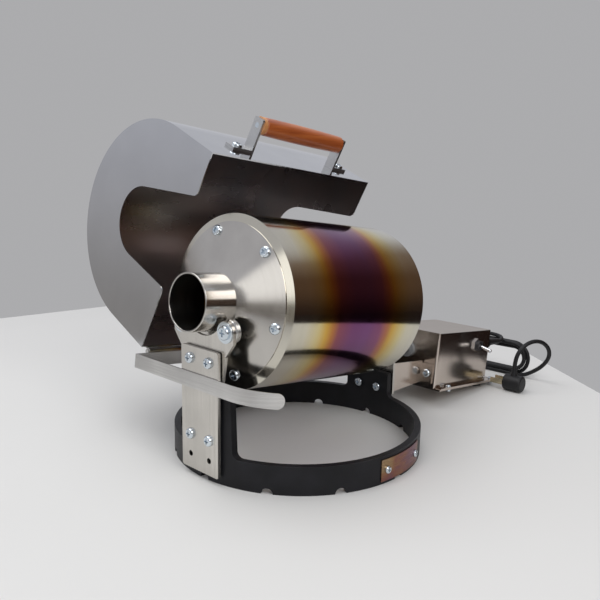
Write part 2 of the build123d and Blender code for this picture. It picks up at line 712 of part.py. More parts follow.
def hood_plate(y0):
    """A flat end plate with the keyhole notch that passes the neck or the hub."""
    lean = math.radians(NOTCH_LEAN)
    centre = HOOD_WIDTH / 2
    touch_a = centre + NOTCH_RADIUS * math.cos(lean)
    touch_v = NOTCH_RISE + NOTCH_RADIUS * math.sin(lean)
    foot_a = touch_a + (touch_v + NOTCH_TIP_ROUND) * math.tan(lean)
    notch = Pos(centre, NOTCH_RISE) * Circle(NOTCH_RADIUS)
    notch += Polygon(
        (centre - NOTCH_RADIUS, NOTCH_RISE),
        (centre - NOTCH_RADIUS, -NOTCH_TIP_ROUND),
        (foot_a, -NOTCH_TIP_ROUND),
        (touch_a, touch_v),
        (centre, NOTCH_RISE),
        align=None,
    )
    outline = arch(0) - notch
    tips = [
        v for v in outline.vertices()
        if abs(v.Y) < SEAT and HOOD_SHEET < v.X < HOOD_WIDTH - HOOD_SHEET
    ]
    outline = fillet(tips, NOTCH_TIP_ROUND)
    return HOOD * slab_y(outline, y0, y0 + HOOD_SHEET)


def strap_screw_places():
    """Where the handle straps are screwed on, along the hood."""
    front = GRIP_FRONT - STRAP_THICKNESS - STRAP_FOOT_FRONT / 2 - STRAP_THICKNESS
    rear = GRIP_REAR + STRAP_THICKNESS + STRAP_FOOT_REAR / 2 + STRAP_THICKNESS
    return (front, rear)


def handle_strap(grip_end, side, foot, screw_along):
    """An angle strap: foot flat on the hood wall, leg out to the grip."""
    wall = HOOD_WIDTH
    low = STRAP_HEIGHT - STRAP_HALF_WIDTH
    high = STRAP_HEIGHT + STRAP_HALF_WIDTH
    inner = grip_end
    outer = grip_end + side * STRAP_THICKNESS
    leg = block(wall, wall + STRAP_REACH, min(inner, outer), max(inner, outer), low, high)
    tips = [
        e
        for e in leg.edges()
        if abs(e.length - STRAP_THICKNESS) < SEAT and e.center().X > wall + STRAP_REACH / 2
    ]
    leg = fillet(tips, STRAP_CORNER)
    far = outer + side * foot
    strap = leg + block(wall, wall + STRAP_THICKNESS, min(inner, far), max(inner, far), low, high)
    strap -= rod_x(M4_RADIUS + HOLE_GAP, wall, wall + STRAP_THICKNESS, screw_along, STRAP_HEIGHT)
    bore = HANDLE_ROD_RADIUS + SEAT
    strap -= rod_y(bore, min(inner, outer), max(inner, outer), wall + GRIP_OUT, STRAP_HEIGHT)
    return HOOD * strap


def strap_screws():
    """Screws through the strap feet and the hood wall."""
    length = STRAP_THICKNESS + HOOD_SHEET + M4_NUT_HEIGHT + SCREW_PAST_NUT
    screw = pan_screw(M4_RADIUS, length, M4_HEAD_RADIUS, M4_HEAD_HEIGHT)
    seat = HOOD_WIDTH + STRAP_THICKNESS
    return [HOOD * Pos(seat, along, STRAP_HEIGHT) * FACE_RIGHT * screw for along in strap_screw_places()]


def strap_nuts():
    nut = hex_nut(M4_NUT_FLATS, M4_NUT_HEIGHT, M4_RADIUS + SEAT)
    seat = HOOD_WIDTH - HOOD_SHEET
    turn = Rot(0, -90, 0)
    return [HOOD * Pos(seat, along, STRAP_HEIGHT) * turn * nut for along in strap_screw_places()]


def handle_grip():
    """A turned wooden grip, a little fuller in the middle."""
    middle = (GRIP_FRONT + GRIP_REAR) / 2
    bore = HANDLE_ROD_RADIUS + SEAT
    start = GRIP_FRONT + COLLAR_LENGTH + SEAT
    end = GRIP_REAR - SEAT
    with BuildSketch() as half:
        with BuildLine():
            Line((bore, start), (GRIP_RADIUS - GRIP_EDGE, start))
            Line((GRIP_RADIUS - GRIP_EDGE, start), (GRIP_RADIUS, start + GRIP_EDGE))
            ThreePointArc(
                (GRIP_RADIUS, start + GRIP_EDGE),
                (GRIP_RADIUS + GRIP_BULGE, middle),
                (GRIP_RADIUS, end - GRIP_EDGE),
            )
            Line((GRIP_RADIUS, end - GRIP_EDGE), (GRIP_RADIUS - GRIP_EDGE, end))
            Line((GRIP_RADIUS - GRIP_EDGE, end), (bore, end))
            Line((bore, end), (bore, start))
        make_face()
    grip = revolve(half.sketch, axis=Axis.Y)
    return HOOD * Pos(HOOD_WIDTH + GRIP_OUT, 0, STRAP_HEIGHT) * grip


def handle_collar():
    """The pale wooden ring at the front end of the grip."""
    end = GRIP_FRONT + COLLAR_LENGTH
    ring = rod_y(GRIP_RADIUS, GRIP_FRONT + SEAT, end) - rod_y(HANDLE_ROD_RADIUS + SEAT, GRIP_FRONT, end)
    return HOOD * Pos(HOOD_WIDTH + GRIP_OUT, 0, STRAP_HEIGHT) * ring


def handle_rod():
    """The rod through the grip, riveted flush in the straps."""
    bar = rod_y(HANDLE_ROD_RADIUS, GRIP_FRONT - STRAP_THICKNESS, GRIP_REAR + STRAP_THICKNESS)
    return HOOD * Pos(HOOD_WIDTH + GRIP_OUT, 0, STRAP_HEIGHT) * bar


def cone_at(radius):
    """Place along the axis of the flange's outer face at a radius."""
    return DRUM_FRONT - (DRUM_RADIUS - radius) * CONE_SLOPE


def cone_thick(wall):
    """Thickness along the axis of a leaning wall."""
    return wall * math.hypot(1, CONE_SLOPE)


def on_cone(piece, index):
    """A piece standing on the XY plane, set square on the cover at a screw place."""
    lean = math.degrees(math.atan(CONE_SLOPE))
    along = cone_at(CONE_SCREW_RADIUS) - cone_thick(COVER_WALL)
    turn = CONE_SCREW_ANGLE + index * 360 / CONE_SCREW_COUNT
    place = Pos(0, along, CONE_SCREW_RADIUS) * Rot(90 - lean, 0, 0)
    return DRUM * Rot(0, turn, 0) * place * piece


def cone_holes():
    depth = COVER_RADIUS
    drill = Cylinder(M4_RADIUS + HOLE_GAP, depth)
    return [on_cone(drill, i) for i in range(CONE_SCREW_COUNT)]


def drum_shell():
    """The drum wall with its turned-in front flange."""
    thick = cone_thick(DRUM_WALL)
    inner = DRUM_RADIUS - DRUM_WALL
    profile = [
        (DRUM_RADIUS, DRUM_REAR),
        (DRUM_RADIUS, DRUM_FRONT),
        (FLANGE_INNER_RADIUS, cone_at(FLANGE_INNER_RADIUS)),
        (FLANGE_INNER_RADIUS, cone_at(FLANGE_INNER_RADIUS) + thick),
        (inner, cone_at(inner) + thick),
        (inner, DRUM_REAR),
    ]
    shell = DRUM * turned(profile)
    for hole in cone_holes():
        shell -= hole
    return shell


def drum_front_cone():
    """The conical cover screwed on the flange, round the neck."""
    thick = cone_thick(COVER_WALL)
    bore = NECK_RADIUS + SEAT
    profile = [
        (COVER_RADIUS, cone_at(COVER_RADIUS)),
        (COVER_RADIUS, cone_at(COVER_RADIUS) - thick),
        (bore, cone_at(bore) - thick),
        (bore, cone_at(bore)),
    ]
    cover = DRUM * turned(profile)
    for hole in cone_holes():
        cover -= hole
    return cover


def neck_tube():
    """The loading neck, with a rounded lip at the mouth."""
    inner = NECK_RADIUS - NECK_WALL
    end = cone_at(NECK_RADIUS) + NECK_INSIDE
    tube = rod_y(NECK_RADIUS, NECK_MOUTH, end) - rod_y(inner, NECK_MOUTH, end)
    lip = tube.edges().filter_by(GeomType.CIRCLE).group_by(Axis.Y)[0]
    return DRUM * fillet(lip, NECK_LIP_ROUND)


def cone_screws():
    length = COVER_WALL + DRUM_WALL + M4_NUT_HEIGHT + SCREW_PAST_NUT
    screw = pan_screw(M4_RADIUS, length, M4_HEAD_RADIUS, M4_HEAD_HEIGHT)
    return [on_cone(screw, i) for i in range(CONE_SCREW_COUNT)]


def cone_nuts():
    depth = COVER_WALL + DRUM_WALL + M4_NUT_HEIGHT + SEAT
    nut = Pos(0, 0, -depth) * hex_nut(M4_NUT_FLATS, M4_NUT_HEIGHT, M4_RADIUS + SEAT)
    return [on_cone(nut, i) for i in range(CONE_SCREW_COUNT)]


def hub_circle():
    step = 360 / HUB_SCREW_COUNT
    return [Rot(0, i * step, 0) * Pos(HUB_SCREW_CIRCLE, 0, 0) for i in range(HUB_SCREW_COUNT)]


def drum_rear_disc():
    """The pressed rear end, set into the shell with its lip outwards."""
    outer = DRUM_RADIUS - DRUM_WALL - SEAT
    profile = [
        (SPINDLE_RADIUS + SEAT, DISC_FACE),
        (outer, DISC_FACE),
        (outer, DRUM_REAR),
        (outer - DRUM_WALL, DRUM_REAR),
        (outer - DRUM_WALL, DISC_FACE + DRUM_WALL),
        (SPINDLE_RADIUS + SEAT, DISC_FACE + DRUM_WALL),
    ]
    disc = turned(profile)
    for place in hub_circle():
        disc -= place * rod_y(M4_RADIUS + HOLE_GAP, DISC_FACE, DISC_FACE + DRUM_WALL)
    return DRUM * disc


def rear_hub():
    """The flanged hub behind the rear end."""
    face = DISC_FACE + DRUM_WALL
    profile = [
        (SPINDLE_RADIUS + SEAT, face),
        (HUB_FLANGE_RADIUS, face),
        (HUB_FLANGE_RADIUS, face + HUB_FLANGE_THICKNESS),
        (HUB_BOSS_RADIUS, face + HUB_FLANGE_THICKNESS),
        (HUB_BOSS_RADIUS, face + HUB_BOSS_LENGTH),
        (SPINDLE_RADIUS + SEAT, face + HUB_BOSS_LENGTH),
    ]
    hub = turned(profile)
    for place in hub_circle():
        hub -= place * rod_y(M4_RADIUS + HOLE_GAP, face, face + HUB_FLANGE_THICKNESS)
    return DRUM * hub


def hub_screws():
    """Screws from inside the drum, each with its nut on the hub flange."""
    grip = DRUM_WALL + HUB_FLANGE_THICKNESS
    length = grip + M4_NUT_HEIGHT + SCREW_PAST_NUT
    screw = pan_screw(M4_RADIUS, length, M4_HEAD_RADIUS, M4_HEAD_HEIGHT)
    nut = Pos(0, 0, -grip - M4_NUT_HEIGHT) * extrude(
        RegularPolygon(M4_NUT_FLATS / 2, 6, major_radius=False), amount=M4_NUT_HEIGHT
    )
    fastener = Pos(0, DISC_FACE, 0) * FACE_FRONT * (screw + nut)
    return [DRUM * place * fastener for place in hub_circle()]


def rear_spindle():
    """The driving spindle, with a nut inside the drum and one behind the gear."""
    nut_end = DISC_FACE - SPINDLE_NUT_HEIGHT
    tail = GEAR_BACK + GEAR_HUB_OUT + SEAT
    bar = rod_y(SPINDLE_RADIUS, nut_end - SCREW_PAST_NUT, tail + SPINDLE_NUT_HEIGHT + SCREW_PAST_NUT)
    flats = RegularPolygon(SPINDLE_NUT_FLATS / 2, 6, major_radius=False)
    nut = extrude(flats, amount=SPINDLE_NUT_HEIGHT)
    bar += Pos(0, nut_end, 0) * FACE_REAR * nut
    bar += Pos(0, tail, 0) * FACE_REAR * nut
    return DRUM * bar


def stirring_vanes():
    """Angle strips along the drum wall that lift the load."""
    inner = DRUM_RADIUS - DRUM_WALL - SEAT
    flange = cone_at(FLANGE_INNER_RADIUS) + cone_thick(DRUM_WALL)
    start = flange + VANE_END_GAP + VANE_HEIGHT * CONE_SLOPE
    end = DISC_FACE - VANE_END_GAP
    base = math.sqrt(inner ** 2 - VANE_FOOT ** 2)
    section = Pos(0, base - VANE_HEIGHT / 2) * Rectangle(VANE_THICKNESS, VANE_HEIGHT)
    foot = VANE_FOOT + VANE_THICKNESS / 2
    foot_place = Pos((foot - VANE_THICKNESS) / 2, base - VANE_THICKNESS / 2)
    section += foot_place * Rectangle(foot, VANE_THICKNESS)
    vane = slab_y(section, start, end)
    step = 360 / VANE_COUNT
    return [DRUM * Rot(0, i * step + VANE_ANGLE, 0) * vane for i in range(VANE_COUNT)]


def involute(radius, base):
    """Roll angle of an involute at a radius, and the angle it has turned through."""
    roll = math.sqrt(max((radius / base) ** 2 - 1, 0))
    return roll - math.atan(roll)


def gear_outline(teeth):
    """The outline of a spur gear, one tooth centred on the profile's X axis."""
    pitch = GEAR_MODULE * teeth / 2
    base = pitch * math.cos(math.radians(PRESSURE_ANGLE))
    tip = pitch + GEAR_MODULE - ROOT_GAP * BACKLASH
    root = pitch - GEAR_MODULE * (1 + ROOT_GAP)
    start = max(base, root)
    half = math.pi / (2 * teeth) - BACKLASH / (4 * pitch) + involute(pitch, base)
    flank = []
    for i in range(FLANK_STEPS + 1):
        radius = start + (tip - start) * i / FLANK_STEPS
        flank.append((radius, half - involute(radius, base)))
    if root < start:
        flank.insert(0, (root, flank[0][1]))
    points = []
    for i in range(teeth):
        centre = i * 2 * math.pi / teeth
        for radius, angle in flank:
            points.append((radius * math.cos(centre - angle), radius * math.sin(centre - angle)))
        for radius, angle in reversed(flank):
            points.append((radius * math.cos(centre + angle), radius * math.sin(centre + angle)))
    return Polygon(*points, align=None), root


def gear_turned(outline, turn):
    """A gear outline as a wheel along Y, its first tooth turned from straight down."""
    return slab_y(Rot(0, 0, turn - 90) * outline, GEAR_FRONT, GEAR_BACK)


def drive_gear():
    """The large gear on the spindle, with a thin web and round windows."""
    outline, root = gear_outline(GEAR_TEETH)
    wheel = gear_turned(outline, 0)
    rim = root - GEAR_RIM
    side = (GEAR_WIDTH - GEAR_WEB) / 2
    for y0, y1 in ((GEAR_FRONT, GEAR_FRONT + side), (GEAR_BACK - side, GEAR_BACK)):
        wheel -= rod_y(rim, y0, y1) - rod_y(GEAR_HUB_RADIUS, y0, y1)
    middle = (rim + GEAR_HUB_RADIUS) / 2
    window = (rim - GEAR_HUB_RADIUS) * GEAR_WINDOW_SHARE
    for i in range(GEAR_WINDOWS):
        turn = Rot(0, i * 360 / GEAR_WINDOWS, 0)
        wheel -= turn * Pos(middle, 0, 0) * rod_y(window, GEAR_FRONT, GEAR_BACK)
    wheel += rod_y(GEAR_HUB_RADIUS, BUSH_REAR + MOVING_GAP, GEAR_BACK + GEAR_HUB_OUT)
    wheel -= rod_y(SPINDLE_RADIUS + SEAT, BUSH_REAR, GEAR_BACK + 2 * GEAR_HUB_OUT)
    return DRUM * wheel


def motor_pinion():
    """The pinion and its long output shaft."""
    outline, root = gear_outline(PINION_TEETH)
    turn = 180 / PINION_TEETH + 180
    wheel = gear_turned(outline, turn)
    wheel += rod_y(PINION_HUB_RADIUS, GEAR_BACK, GEAR_BACK + PINION_HUB_LENGTH)
    shaft_end = BOX_FRONT + BOX_WALL + GEARBOX_LENGTH / 2
    wheel += rod_y(MOTOR_SHAFT_RADIUS, GEAR_FRONT - 2 * SCREW_PAST_NUT, shaft_end)
    return DRUM * Pos(0, 0, -GEAR_SPACING) * wheel


def rear_post():
    """The upright plate behind the ring that carries the spindle bearing."""
    axis = rear_axis_height()
    top = Pos(0, axis) * Circle(REAR_TAB_HALF)
    outline = top + Pos(0, (REAR_POST_BOTTOM + axis) / 2) * Rectangle(
        2 * REAR_TAB_HALF, axis - REAR_POST_BOTTOM
    )
    for x in (-POST_SCREW_X, POST_SCREW_X):
        outline -= Pos(x, REAR_SCREW_HEIGHT) * Circle(M5_RADIUS + HOLE_GAP)
    plate = slab_y(outline, REAR_POST_FACE, REAR_POST_BACK)
    return plate - DRUM * rod_y(BUSH_RADIUS + SEAT, DRUM_REAR, BLOCK_REAR)


def rear_axis_height():
    """Height of the drum axis at the rear post."""
    return AXIS_HEIGHT - (REAR_POST_FACE + REAR_POST_BACK) / 2 * math.tan(math.radians(TILT))


def bearing_block():
    """A round block on the rear post, faced square to the drum axis."""
    axis = rear_axis_height()
    block_body = rod_y(BLOCK_RADIUS, REAR_POST_BACK, BLOCK_REAR + BLOCK_RADIUS, 0, axis)
    block_body &= DRUM * block(
        -2 * BLOCK_RADIUS, 2 * BLOCK_RADIUS, DRUM_REAR, BLOCK_REAR, -2 * BLOCK_RADIUS, 2 * BLOCK_RADIUS
    )
    return block_body - DRUM * rod_y(BUSH_RADIUS + SEAT, DRUM_REAR, GEAR_FRONT)


def rear_bushing():
    """The flanged bush that the spindle runs in."""
    bush = rod_y(BUSH_RADIUS, BUSH_FRONT, BLOCK_REAR)
    bush += rod_y(BUSH_FLANGE_RADIUS, BLOCK_REAR, BUSH_REAR)
    return DRUM * (bush - rod_y(SPINDLE_RADIUS + RUN_GAP, BUSH_FRONT, BUSH_REAR))


def motor_bracket():
    """The channel that carries the front of the motor box on the rear post."""
    back = BOX_FRONT
    back_inner = BOX_FRONT - BRACKET_THICKNESS
    reach = BOX_FRONT + BRACKET_HALF_WIDTH
    side = Polygon(
        (REAR_POST_BACK, BRACKET_BOTTOM),
        (reach, BRACKET_BOTTOM),
        (reach, BRACKET_SIDE_TOP_REAR),
        (REAR_POST_BACK, BRACKET_SIDE_TOP_FRONT),
        align=None,
    )
    plane = Plane(origin=(0, 0, 0), x_dir=(0, 1, 0), z_dir=(1, 0, 0))
    body = extrude(plane * side, amount=BRACKET_HALF_WIDTH, both=True)
    inner = BRACKET_HALF_WIDTH - BRACKET_THICKNESS
    body -= block(
        -inner, inner, REAR_POST_BACK + BRACKET_THICKNESS, reach,
        BRACKET_BOTTOM + BRACKET_THICKNESS, BRACKET_SIDE_TOP_FRONT,
    )
    body -= block(-inner, inner, REAR_POST_BACK, reach, BRACKET_WEB_TOP, AXIS_HEIGHT)
    body &= DRUM * block(-reach, reach, 0, back_inner, -AXIS_HEIGHT, AXIS_HEIGHT)
    ear = BRACKET_HALF_WIDTH + BRACKET_EAR_OUT
    ears = DRUM * block(-ear, ear, back_inner, back, -AXIS_HEIGHT, AXIS_HEIGHT)
    ears &= block(-reach, reach, 0, reach, BRACKET_BOTTOM, BRACKET_EAR_TOP)
    ears -= block(-inner, inner, 0, reach, BRACKET_BOTTOM + BRACKET_THICKNESS, AXIS_HEIGHT)
    body += ears
    hole = M5_RADIUS + HOLE_GAP
    inside = REAR_POST_BACK + BRACKET_THICKNESS
    for x in (-POST_SCREW_X, POST_SCREW_X):
        body -= rod_y(hole, REAR_POST_BACK, inside, x, REAR_SCREW_HEIGHT)
    for x in (-EAR_SCREW_X, EAR_SCREW_X):
        body -= DRUM * rod_y(hole, back - M5_NUT_HEIGHT, back, x, ear_screw_height())
    return body


def ear_screw_height():
    """Drum frame height of the screws in the bracket's ears."""
    return (EAR_SCREW_HEIGHT - AXIS_HEIGHT + BOX_FRONT * TILT_SIN) / TILT_COS


def rear_post_screws():
    """Screws from inside the ring through the tab, the post and the bracket."""
    seat = ring_seat(M5_HEAD_RADIUS)
    grip = REAR_POST_BACK + BRACKET_THICKNESS - seat
    length = grip + M5_NUT_HEIGHT + SCREW_PAST_NUT
    screw = pan_screw(M5_RADIUS, length, M5_HEAD_RADIUS, M5_HEAD_HEIGHT)
    return [
        Pos(x, seat, REAR_SCREW_HEIGHT) * FACE_FRONT * screw
        for x in (-POST_SCREW_X, POST_SCREW_X)
    ]


def rear_post_nuts():
    nut = hex_nut(M5_NUT_FLATS, M5_NUT_HEIGHT, M5_RADIUS + SEAT)
    seat = REAR_POST_BACK + BRACKET_THICKNESS
    return [
        Pos(x, seat, REAR_SCREW_HEIGHT) * FACE_REAR * nut
        for x in (-POST_SCREW_X, POST_SCREW_X)
    ]


def bracket_bolts():
    """Screws from the bracket's ears into the front of the box, nuts inside."""
    grip = BRACKET_THICKNESS + BOX_WALL
    length = grip + M5_NUT_HEIGHT + SCREW_PAST_NUT
    screw = pan_screw(M5_RADIUS, length, M5_HEAD_RADIUS, M5_HEAD_HEIGHT)
    nut = Pos(0, 0, -grip - M5_NUT_HEIGHT) * extrude(
        RegularPolygon(M5_NUT_FLATS / 2, 6, major_radius=False), amount=M5_NUT_HEIGHT
    )
    place = Pos(0, BOX_FRONT - BRACKET_THICKNESS, ear_screw_height()) * FACE_FRONT
    return [DRUM * Pos(x, 0, 0) * place * (screw + nut) for x in (-EAR_SCREW_X, EAR_SCREW_X)]


def motor_box_cover():
    """The folded sheet cover with an outward skirt at its foot."""
    outer = block(-BOX_HALF_WIDTH, BOX_HALF_WIDTH, BOX_FRONT, BOX_REAR, BOX_BOTTOM, BOX_TOP)
    uprights = outer.edges().filter_by(Axis.Z)
    outer = fillet(uprights, BOX_CORNER)
    half = BOX_HALF_WIDTH - BOX_WALL
    skirt_half = BOX_HALF_WIDTH + SKIRT_OUT
    skirt_top = BOX_BOTTOM + BOX_WALL
    skirt = block(-skirt_half, skirt_half, BOX_FRONT + BOX_CORNER, BASE_END, BOX_BOTTOM, skirt_top)
    front = BOX_FRONT + BOX_WALL
    rear = BOX_REAR - BOX_WALL
    inner = block(-half, half, front, rear, BOX_BOTTOM, BOX_TOP - BOX_WALL)
    inner = fillet(inner.edges().filter_by(Axis.Z), BOX_CORNER - BOX_WALL)
    cover = outer + skirt - inner
    cover -= rod_y(OUTPUT_BOSS_RADIUS + HOLE_GAP, BOX_FRONT, front, 0, -GEAR_SPACING)
    for x in (-EAR_SCREW_X, EAR_SCREW_X):
        cover -= rod_y(M5_RADIUS + HOLE_GAP, BOX_FRONT, front, x, ear_screw_height())
    cover -= rod_x(SWITCH_NECK_RADIUS + SEAT, half, BOX_HALF_WIDTH, SWITCH_ALONG, SWITCH_HEIGHT)
    cover -= rod_y(RELIEF_NECK_RADIUS + SEAT, rear, BOX_REAR, RELIEF_X, RELIEF_HEIGHT)
    for x, along in base_bolt_places():
        cover -= Pos(x, along, BOX_BOTTOM + BOX_WALL / 2) * Cylinder(M3_RADIUS + HOLE_GAP, BOX_WALL)
    return DRUM * cover


def base_bolt_places():
    x = BOX_HALF_WIDTH + SKIRT_OUT / 2
    front = BOX_FRONT + BASE_BOLT_IN
    rear = BOX_REAR + SKIRT_REAR / 2
    return [(-x, front), (-x, rear), (x, front), (x, rear)]


def motor_box_base():
    """The base plate under the motor box."""
    half = BOX_HALF_WIDTH + SKIRT_OUT
    plate = block(-half, half, BOX_FRONT, BASE_END, BASE_UNDER, BOX_BOTTOM)
    hole = Cylinder(M3_RADIUS + HOLE_GAP, BASE_THICKNESS)
    for x, along in base_bolt_places():
        plate -= Pos(x, along, BASE_UNDER + BASE_THICKNESS / 2) * hole
    return DRUM * plate


def base_bolts():
    """Screws down through skirt and base, each with its nut below."""
    grip = BOX_WALL + BASE_THICKNESS
    screw = pan_screw(M3_RADIUS, grip + M3_NUT_HEIGHT, M3_HEAD_RADIUS, M3_HEAD_HEIGHT)
    nut = Pos(0, 0, -grip - M3_NUT_HEIGHT) * extrude(
        RegularPolygon(M3_NUT_FLATS / 2, 6, major_radius=False), amount=M3_NUT_HEIGHT
    )
    top = BOX_BOTTOM + BOX_WALL
    return [DRUM * Pos(x, along, top) * (screw + nut) for x, along in base_bolt_places()]


def rear_feet():
    """Rubber feet that stand upright under the leaning base."""
    half = BOX_HALF_WIDTH
    under = DRUM * block(-half, half, BOX_FRONT, BOX_REAR, -2 * AXIS_HEIGHT, BASE_UNDER)
    feet = []
    for x in (FOOT_X_IN - half, half - FOOT_X_IN):
        at = drum_point(x, BOX_REAR - FOOT_IN, BASE_UNDER)
        height = at.Z + FOOT_RADIUS
        pad = Pos(at.X, at.Y, height / 2) * Cylinder(FOOT_RADIUS, height)
        feet.append(pad & under)
    return feet


def gearmotor():
    """The geared motor on the base plate, shown as its outer shape."""
    start = BOX_FRONT + BOX_WALL
    end = start + GEARBOX_LENGTH
    half = GEARBOX_HALF_WIDTH
    body = block(-half, half, start + SEAT, end, BOX_BOTTOM, GEARBOX_TOP)
    for x in (-EAR_SCREW_X, EAR_SCREW_X):
        body -= rod_y(M5_NUT_FLATS, start, start + 2 * M5_NUT_HEIGHT, x, ear_screw_height())
    body += rod_y(MOTOR_CAN_RADIUS, end, end + MOTOR_CAN_LENGTH, 0, MOTOR_HEIGHT)
    boss = BOX_FRONT - OUTPUT_BOSS_LENGTH
    shaft_end = start + GEARBOX_LENGTH / 2
    body += rod_y(OUTPUT_BOSS_RADIUS, boss, shaft_end, 0, -GEAR_SPACING)
    body -= rod_y(MOTOR_SHAFT_RADIUS + RUN_GAP, boss, shaft_end + MOVING_GAP, 0, -GEAR_SPACING)
    return DRUM * body


def toggle_switch():
    """The switch body inside the box with its round neck through the wall."""
    inside = BOX_HALF_WIDTH - BOX_WALL
    outside = BOX_HALF_WIDTH + SWITCH_NECK_LENGTH
    body = block(
        inside - SWITCH_BODY_DEPTH, inside,
        SWITCH_ALONG - SWITCH_BODY_WIDTH / 2, SWITCH_ALONG + SWITCH_BODY_WIDTH / 2,
        SWITCH_HEIGHT - SWITCH_BODY_HEIGHT / 2, SWITCH_HEIGHT + SWITCH_BODY_HEIGHT / 2,
    )
    body += rod_x(SWITCH_NECK_RADIUS, inside, outside, SWITCH_ALONG, SWITCH_HEIGHT)
    body -= rod_x(SWITCH_MOUTH_RADIUS, BOX_HALF_WIDTH, outside, SWITCH_ALONG, SWITCH_HEIGHT)
    return DRUM * body


def toggle_nut():
    bore = SWITCH_NECK_RADIUS + SEAT
    nut = hex_nut(SWITCH_NUT_FLATS, SWITCH_NUT_HEIGHT, bore)
    return DRUM * Pos(BOX_HALF_WIDTH, SWITCH_ALONG, SWITCH_HEIGHT) * FACE_RIGHT * nut


def toggle_lever():
    """The bat lever, swung down at rest."""
    ball = Sphere(LEVER_BALL_RADIUS)
    height = LEVER_LENGTH - LEVER_TIP_RADIUS
    bat = Pos(0, 0, height / 2) * Cone(LEVER_ROOT_RADIUS, LEVER_TIP_RADIUS, height)
    tip = Pos(0, 0, height) * Sphere(LEVER_TIP_RADIUS)
    lever = ball + bat + tip
    place = Pos(BOX_HALF_WIDTH + LEVER_PIVOT_OUT, SWITCH_ALONG, SWITCH_HEIGHT)
    return DRUM * place * Rot(0, 90 + LEVER_SWING / 2, 0) * lever


def strain_relief():
    """The tapered rubber sleeve where the lead leaves the box."""
    inside = BOX_REAR - BOX_WALL - RELIEF_INSIDE
    profile = [
        (0, inside),
        (RELIEF_NECK_RADIUS, inside),
        (RELIEF_NECK_RADIUS, BOX_REAR),
        (RELIEF_FLANGE_RADIUS, BOX_REAR),
        (RELIEF_FLANGE_RADIUS, BOX_REAR + RELIEF_FLANGE),
        (RELIEF_ROOT_RADIUS, BOX_REAR + RELIEF_FLANGE),
        (RELIEF_END_RADIUS, BOX_REAR + RELIEF_LENGTH),
        (0, BOX_REAR + RELIEF_LENGTH),
    ]
    return DRUM * Pos(RELIEF_X, 0, RELIEF_HEIGHT) * turned(profile)


def tube(points, radii):
    """A round tube of the lead along straight runs joined by tangent arcs."""
    path = FilletPolyline(*points, radius=radii)
    start = path @ 0
    solid = sweep(Plane(origin=start, z_dir=path % 0) * Circle(CORD_RADIUS), path=path)
    return solid, path.length


def corner_radii(points):
    """The largest tidy radius at each corner of a route."""
    radii = []
    for before, here, after in zip(points, points[1:], points[2:]):
        run_in = Vector(here) - Vector(before)
        run_out = Vector(after) - Vector(here)
        turn = math.radians(run_in.get_angle(run_out))
        radii.append(BEND_SHARE * min(run_in.length, run_out.length) / math.tan(turn / 2))
    return radii


def lead_from_box():
    """Route of the free stretch from the strain relief up to the hank."""
    relief_end = BOX_REAR + RELIEF_LENGTH
    leaves = drum_point(RELIEF_X, relief_end, RELIEF_HEIGHT)
    ahead = drum_point(RELIEF_X, relief_end + LEAD_EXIT_RUN, RELIEF_HEIGHT)
    turn = leaves + Vector(*BOX_TURN)
    start = Vector(HANK_START_X, HANK_REAR_Y, HANK_TOP)
    return [leaves, ahead, turn, start + Vector(HANK_RUN_IN, 0, 0), start]


def lead_to_plug():
    """Route of the free stretch from the hank over and down into the plug."""
    leaves = Vector(HANK_HALF, HANK_FRONT_Y, CORD_RADIUS)
    between = [leaves + Vector(*step) for step in PLUG_ROUTE]
    boot = Vector(PLUG_BOOT_X, PLUG_Y, PLUG_BOOT_TOP)
    return [leaves, *between, boot + Vector(0, 0, PLUG_BOOT_RUN), boot]


def hank_fold(edges, here, side, radius):
    """A run to one end and the half turn there, down at the left end and up at the right."""
    corner = Vector(side * HANK_HALF, here.Y, here.Z)
    if (corner - here).length > SEAT:
        edges.append(Line(here, corner))
    middle = corner + Vector(side * radius, 0, side * radius)
    end = corner + Vector(0, 0, 2 * side * radius)
    edges.append(ThreePointArc(corner, middle, end))
    return end


def hank_wire():
    """The lead's loops: in along the rear layer, one climb along a run, out along the front."""
    folds = [HANK_RADIUS - i * HANK_PITCH / 2 for i in range(HANK_FOLDS)]
    edges = []
    here = Vector(HANK_START_X, HANK_REAR_Y, HANK_TOP)
    side = -1
    for radius in folds:
        here = hank_fold(edges, here, side, radius)
        side = -side
    end = Vector(side * HANK_HALF, HANK_FRONT_Y, here.Z)
    first = TangentArc(here, (here + end) / 2, tangent=(side, 0, 0))
    edges.append(first)
    edges.append(TangentArc(first @ 1, end, tangent=first % 1))
    here = end
    for radius in reversed(folds[1:]):
        here = hank_fold(edges, here, side, radius)
        side = -side
    edges.append(Line(here, (HANK_HALF, HANK_FRONT_Y, here.Z)))
    return Wire(edges)


def least_gap(wire):
    """Least free gap between turns of a wound lead, measured on points."""
    count = int(wire.length / CORD_RADIUS)
    points = [wire @ (i / count) for i in range(count + 1)]
    best = wire.length
    for i, first in enumerate(points):
        for second in points[i + GAP_NEIGHBOURS:]:
            best = min(best, (first - second).length)
    return best - 2 * CORD_RADIUS


def plug_body():
    """A round plug lying on the table, its lead leaving upwards through a boot."""
    body = rod_x(PLUG_RADIUS, PLUG_LEFT, PLUG_LEFT + PLUG_LENGTH, PLUG_Y, PLUG_RADIUS)
    body = fillet(body.edges(), PLUG_EDGE)
    height = PLUG_BOOT_TOP - PLUG_RADIUS
    boot = Cone(PLUG_BOOT_ROOT, PLUG_BOOT_END, height)
    return body + Pos(PLUG_BOOT_X, PLUG_Y, PLUG_RADIUS + height / 2) * boot


